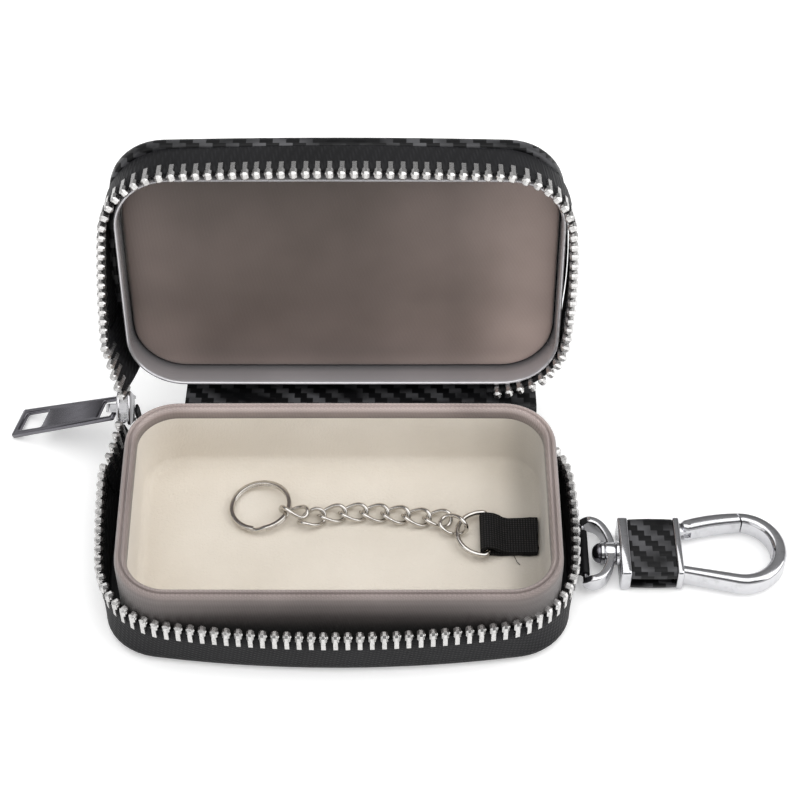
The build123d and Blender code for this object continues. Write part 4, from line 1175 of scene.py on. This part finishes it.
washer = [(62.8, 1.55), (62.8, 2.85), (62.9, 3.0), (63.45, 3.0), (63.55, 2.85), (63.55, 1.55)]
loftPiece("swivelWasher", "nickel", "clip", ["swivel_washer"], turnedStations(washer), closed=True)
rivet = [
    (60.7, 0.3), (60.76, 0.8), (60.95, 1.35), (61.3, 1.85), (61.75, 2.2), (62.2, 2.4), (62.6, 2.45), (62.76, 2.35),
    (62.78, 1.5), (69.0, 1.5),
]
loftPiece("swivelRivet", "darkNickel", "clip", ["swivel_rivet"], turnedStations(rivet))

# leather tab round the bar, in section
tabSettings = {"outer": 1.13, "hole": 0.76, "wide": 12.8, "edge": 0.12}


def roundBar(radius, turns):
    return [
        Vector((outerRing["bar"] + radius * math.cos(turn), 0, radius * math.sin(turn))) for turn in turns
    ]


tabRing = [Vector((55.4, 0, -0.42)), Vector((57.6, 0, -0.44))]
tabRing += roundBar(tabSettings["outer"], [math.radians(turn) for turn in range(-145, 146, 20)])
tabRing += [Vector((57.6, 0, 0.44)), Vector((55.4, 0, 0.42))]
tabHole = roundBar(tabSettings["hole"], [math.tau * step / 20 for step in range(20)])
bm = bmesh.new()
tabLoops = [[place + clipAt for place in loop] for loop in (tabRing, tabHole)]
plate(bm, tabLoops, backWay, tabSettings["wide"], tabSettings["edge"])
finishPiece(bm, "sideTab", "leather", "base", ["side_tab"], sharp=50)

blockSettings = {"start": 67.15, "end": 82.2, "halfWidth": 8.7, "halfHeight": 3.5, "left": 2.5, "right": 1.6}


def clipStation(x, section, y=0.0):
    return stationAt(clipAt + Vector((x, y, 0)), backWay, upWay, section)


def flangeStations(first, last, edge=0.35, soft=0.12):
    wide, tall = blockSettings["halfWidth"], blockSettings["halfHeight"]
    return [
        clipStation(x, roundedSection(wide - less, tall - less, 0.9 - less, 4))
        for x, less in (
            (first, edge), (first + soft, soft), (first + edge, 0), (last - edge, 0), (last - soft, soft), (last, edge),
        )
    ]


bm = bmesh.new()
loft(bm, flangeStations(blockSettings["start"], blockSettings["start"] + blockSettings["left"]))
loft(bm, flangeStations(blockSettings["end"] - blockSettings["right"], blockSettings["end"]))
loft(bm, turnedStations([(66.5, 2.8), (66.6, 3.0), (67.05, 3.0), (67.2, 3.05)]))
loft(bm, [clipStation(x, roundedSection(6.7, 1.3, 0.3), 0.4) for x in (69.5, 75.0, 80.8)])

bowSettings = {
    "outer": ((97.0, -2.1), 10.8), "inner": ((96.6, -2.1), 7.7), "outerStart": (82.0, -9.7),
    "innerStart": (82.0, -7.3), "outerSeam": 91.0, "innerSeam": 80.5, "halfHeight": 2.7, "bevel": 0.75,
    "mostBevel": 0.45, "softShare": 0.14, "tuckShare": 0.6,
}


def bowSide(side, legSteps=6, arcSteps=44):
    # a straight leg from the block, then the circle that it touches from below
    start, (centre, radius) = bowSettings[side + "Start"], bowSettings[side]
    away = Vector(centre) - Vector(start)
    touch = math.degrees(math.atan2(away.y, away.x) - math.asin(radius / away.length)) - 90
    arc = arcPoints(centre, radius, touch, bowSettings[side + "Seam"], arcSteps)
    return [Vector((*start, 0)).lerp(arc[0], step / legSteps) for step in range(legSteps)] + arc


outerSide, innerSide = bowSide("outer"), bowSide("inner")


def barStations(outer, inner, low, high, lowBevel=bowSettings["bevel"], highBevel=bowSettings["bevel"]):
    # a bevelled bar between two side lines; the bevels have rounded edges
    stations = []
    for first, second in zip(outer, inner):
        middle = (first + second) / 2
        across = (first - second) / 2
        half = across.length
        across.normalize()
        section = []
        for sideways, upright in ((1, 1), (-1, 1), (-1, -1), (1, -1)):
            edge, bevel = (high, highBevel) if upright > 0 else (-low, lowBevel)
            cut = min(bevel, bowSettings["mostBevel"] * half)
            soft = bowSettings["softShare"] * cut
            tuck = bowSettings["tuckShare"] * soft
            corner = [
                (half, edge - cut - soft), (half - tuck, edge - cut + soft), (half - cut + soft, edge - tuck),
                (half - cut - soft, edge),
            ]
            if sideways * upright < 0:
                corner.reverse()
            section += [(sideways * a, upright * b) for a, b in corner]
        stations.append(stationAt(middle + upWay * clipAt.z, across, upWay, section))
    return stations


barHeight = bowSettings["halfHeight"]
loft(bm, barStations(outerSide, innerSide, -barHeight, barHeight))
gateSettings = {"pin": (84.7, 5.1), "lugRadius": 1.2, "seam": 0.35, "split": 4, "slot": 0.95, "slotBevel": 0.1}
pinAt = Vector((*gateSettings["pin"], 0))
lug = [Vector((82.0, 6.6, 0)), Vector((82.0, 3.6, 0))] + arcPoints(pinAt, gateSettings["lugRadius"], -90, 90, 10)
plate(bm, [[place + upWay * clipAt.z for place in lug]], upWay, 1.6, 0.2)
finishPiece(bm, "clipFrame", "nickel", "clip", ["clip_frame"], sharp=35)


def threePointArc(start, middle, end, steps):
    # the circle through three places, stepped from the first to the last
    ax, ay, bx, by = start.x - middle.x, start.y - middle.y, end.x - middle.x, end.y - middle.y
    scale = 2 * (ax * by - ay * bx)
    first, second = ax * ax + ay * ay, bx * bx + by * by
    centre = middle + Vector((by * first - ay * second, ax * second - bx * first, 0)) / scale
    turns = [math.atan2(place.y - centre.y, place.x - centre.x) for place in (start, middle, end)]
    sweep = (turns[2] - turns[0]) % math.tau
    if (turns[1] - turns[0]) % math.tau > sweep:
        sweep -= math.tau
    return arcPoints(
        centre, (start - centre).length, math.degrees(turns[0]), math.degrees(turns[0] + sweep), steps
    )


def fromPin(x, y):
    return pinAt + Vector((x, y, 0))


seamGap = rightWay * gateSettings["seam"]
gateOuter = threePointArc(fromPin(-1.35, 1.35), fromPin(5.2, 3.0), outerSide[-1] - seamGap, 20)
gateInner = threePointArc(fromPin(0, -1.9), fromPin(5.5, -0.6), innerSide[-1] - seamGap, 20)
gateRound = threePointArc(fromPin(-1.35, 1.35), fromPin(-1.9, -0.2), fromPin(0, -1.9), 12)
for number in range(3):
    gateOuter.insert(0, gateRound[1 + number])
    gateInner.insert(0, gateRound[11 - number])
split, slot, slotBevel = gateSettings["split"], gateSettings["slot"], gateSettings["slotBevel"]
tipSides = (gateOuter[:split + 1], gateInner[:split + 1])
loftPiece(
    "clipGate", "nickel", "gate", ["clip_gate"],
    barStations(gateOuter[split:], gateInner[split:], -barHeight, barHeight),
    barStations(*tipSides, slot, barHeight, lowBevel=slotBevel),
    barStations(*tipSides, -barHeight, -slot, highBevel=slotBevel),
)

# leather sleeve on the block, open along its front side
wrapSettings = {"halfWidth": 8.45, "halfHeight": 3.32, "thick": 0.9, "slotLow": -1.6, "slotHigh": 1.0}


def sleeveSkin(grow, radius):
    # once round, from the lower edge of the slot to its upper edge
    wide, tall = wrapSettings["halfWidth"] + grow, wrapSettings["halfHeight"] + grow
    section = roundedSection(wide, tall, radius, 5)
    low, high = ([point for point in section if point[1] * side > 0] for side in (-1, 1))
    return [(-wide, wrapSettings["slotLow"]), *low, *high, (-wide, wrapSettings["slotHigh"])]


loftPiece(
    "blockSleeve", "carbon", "clip", ["block_wrap"],
    [
        clipStation(x, sleeveSkin(swell, 1.3) + sleeveSkin(-wrapSettings["thick"], 0.5)[::-1])
        for x, swell in (
            (69.68, -0.3), (69.72, -0.1), (69.95, 0.0), (72.0, 0.06), (75.1, 0.1), (78.3, 0.06), (80.3, 0.0),
            (80.53, -0.1), (80.57, -0.3),
        )
    ],
    sharp=50,
)
print("clip ready")

# slider and pull tab

sliderAt = Vector((-53.8, 33.9, 16.0))


def sliderWays(face, mouth):
    # the way out of the slider's face, the way to its mouth and the way across
    face = Vector(face).normalized()
    mouth = (mouth - face * mouth.dot(face)).normalized()
    return face, mouth, face.cross(mouth)


face, mouth, side = sliderWays((-0.97, 0.15, -0.16), Vector(freeZip["mouthWay"]))
bridgeProfile = (
    (-3.0, 0.2), (-3.0, 1.6), (-2.95, 2.3), (-2.6, 2.75), (-2.0, 2.9), (-0.4, 2.95), (1.2, 2.9), (1.8, 2.75),
    (2.15, 2.3), (2.2, 1.6), (2.2, 0.2),
)
bridgePath = [sliderAt + mouth * along + face * (rise + 2.0) for along, rise in bridgeProfile]
loftPiece(
    "sliderBridge", "sliderMetal", "base", ["slider_bridge"],
    alongPath(bridgePath, side, roundedSection(0.4, 1.1, 0.22)), sharp=50,
)

sliderShape = [
    (-5.25, -3.2), (3.25, -4.3), (4.4, -4.0), (5.25, -2.7), (5.25, 2.7), (4.4, 4.0), (3.25, 4.3), (-5.25, 3.2),
]
sliderWedge = [(0.4, 0), (3.0, -0.9), (5.1, -1.3), (5.1, 1.3), (3.0, 0.9)]
sliderLip = [(-5.2, 3.15), (1.5, 3.85), (1.5, 3.0), (-5.2, 2.3)]
face, mouth, side = sliderWays((-0.985, 0.03, -0.03), mouth)
bm = bmesh.new()


def sliderPlate(shape, level, *sizes):
    plate(bm, [[sliderAt + mouth * a + side * b + face * level for a, b in shape]], face, *sizes)


sliderPlate(sliderShape, 1.75, 0.8, 0.3, 3)
sliderPlate([(max(a, -1.85), b) for a, b in sliderShape], -0.9, 0.8, 0.3, 3)
sliderPlate(sliderWedge, 0.4, 2.2, 0)
for way in (-1, 1):
    for level in (1.05, -0.6):
        sliderPlate([(a, way * b) for a, b in sliderLip], level, 0.8, 0.15)
finishPiece(bm, "sliderBody", "sliderMetal", "base", ["slider_body"], sharp=50)

pullTab = {
    "pin": (-56.9798, 34.6606, 15.1659), "way": (-0.865, 0.2205, -0.4507), "across": (-0.247, -0.969, 0),
    "thick": 1.25, "eye": (0.5, 4.7, 2.9, 0.35), "window": (22.6, 30.0, 3.0, 0.6),
    "body": (
        (-0.5, -3.6), (-0.2, -3.9), (31.4, -4.7), (31.9, -4.3), (31.9, 4.3), (31.4, 4.7), (-0.2, 3.9), (-0.5, 3.6),
    ),
}
tabPin = Vector(pullTab["pin"])
tabWay, tabAcross = Vector(pullTab["way"]).normalized(), Vector(pullTab["across"]).normalized()


def roundedWindow(low, high, half, radius):
    return [((low + high) / 2 + a, b) for a, b in roundedSection((high - low) / 2, half, radius)]


bm = bmesh.new()
tabLoops = [
    [tabPin + tabWay * a + tabAcross * b for a, b in loop]
    for loop in (pullTab["body"], roundedWindow(*pullTab["eye"]), roundedWindow(*pullTab["window"]))
]
plate(bm, tabLoops, tabWay.cross(tabAcross).normalized(), pullTab["thick"], 0.38, 3)
finishPiece(bm, "pullTab", "darkNickel", "pull_tab", ["pull_tab"], sharp=50)
print("slider ready")

# the CAD nodes that show as they are

nodeFinishes = {"lid_board": "padding", "lid_padding": "padding", "gate_pin": "nickel", "gate_spring": "steel"}
for nodeName, finish in nodeFinishes.items():
    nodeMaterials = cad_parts[nodeName].data.materials
    nodeMaterials.clear()
    nodeMaterials.append(finishes[finish])
print("nodes dressed")

# floor

floorBm = bmesh.new()
bmesh.ops.create_grid(floorBm, x_segments=1, y_segments=1, size=3.0)
floorMesh = bpy.data.meshes.new("floor")
floorBm.to_mesh(floorMesh)
floorBm.free()
floor = bpy.data.objects.new("floor", floorMesh)
bpy.context.scene.collection.objects.link(floor)
floorFinish, floorTree = openFinish("paleFloor")
floorSeen = newNode(floorTree, "LightPath").outputs["Is Camera Ray"]
# a little lift where the camera looks keeps the shadow soft
fillInputs(floorTree, floorTree.nodes["Principled BSDF"], {
    "Base Color": (0.96, 0.96, 0.96, 1), "Roughness": 0.9, "Specular IOR Level": 0.1, "Emission Color": white,
    "Emission Strength": mathNode(floorTree, "MULTIPLY", floorSeen, 0.22),
})
floorMesh.materials.append(floorFinish)

print("done")
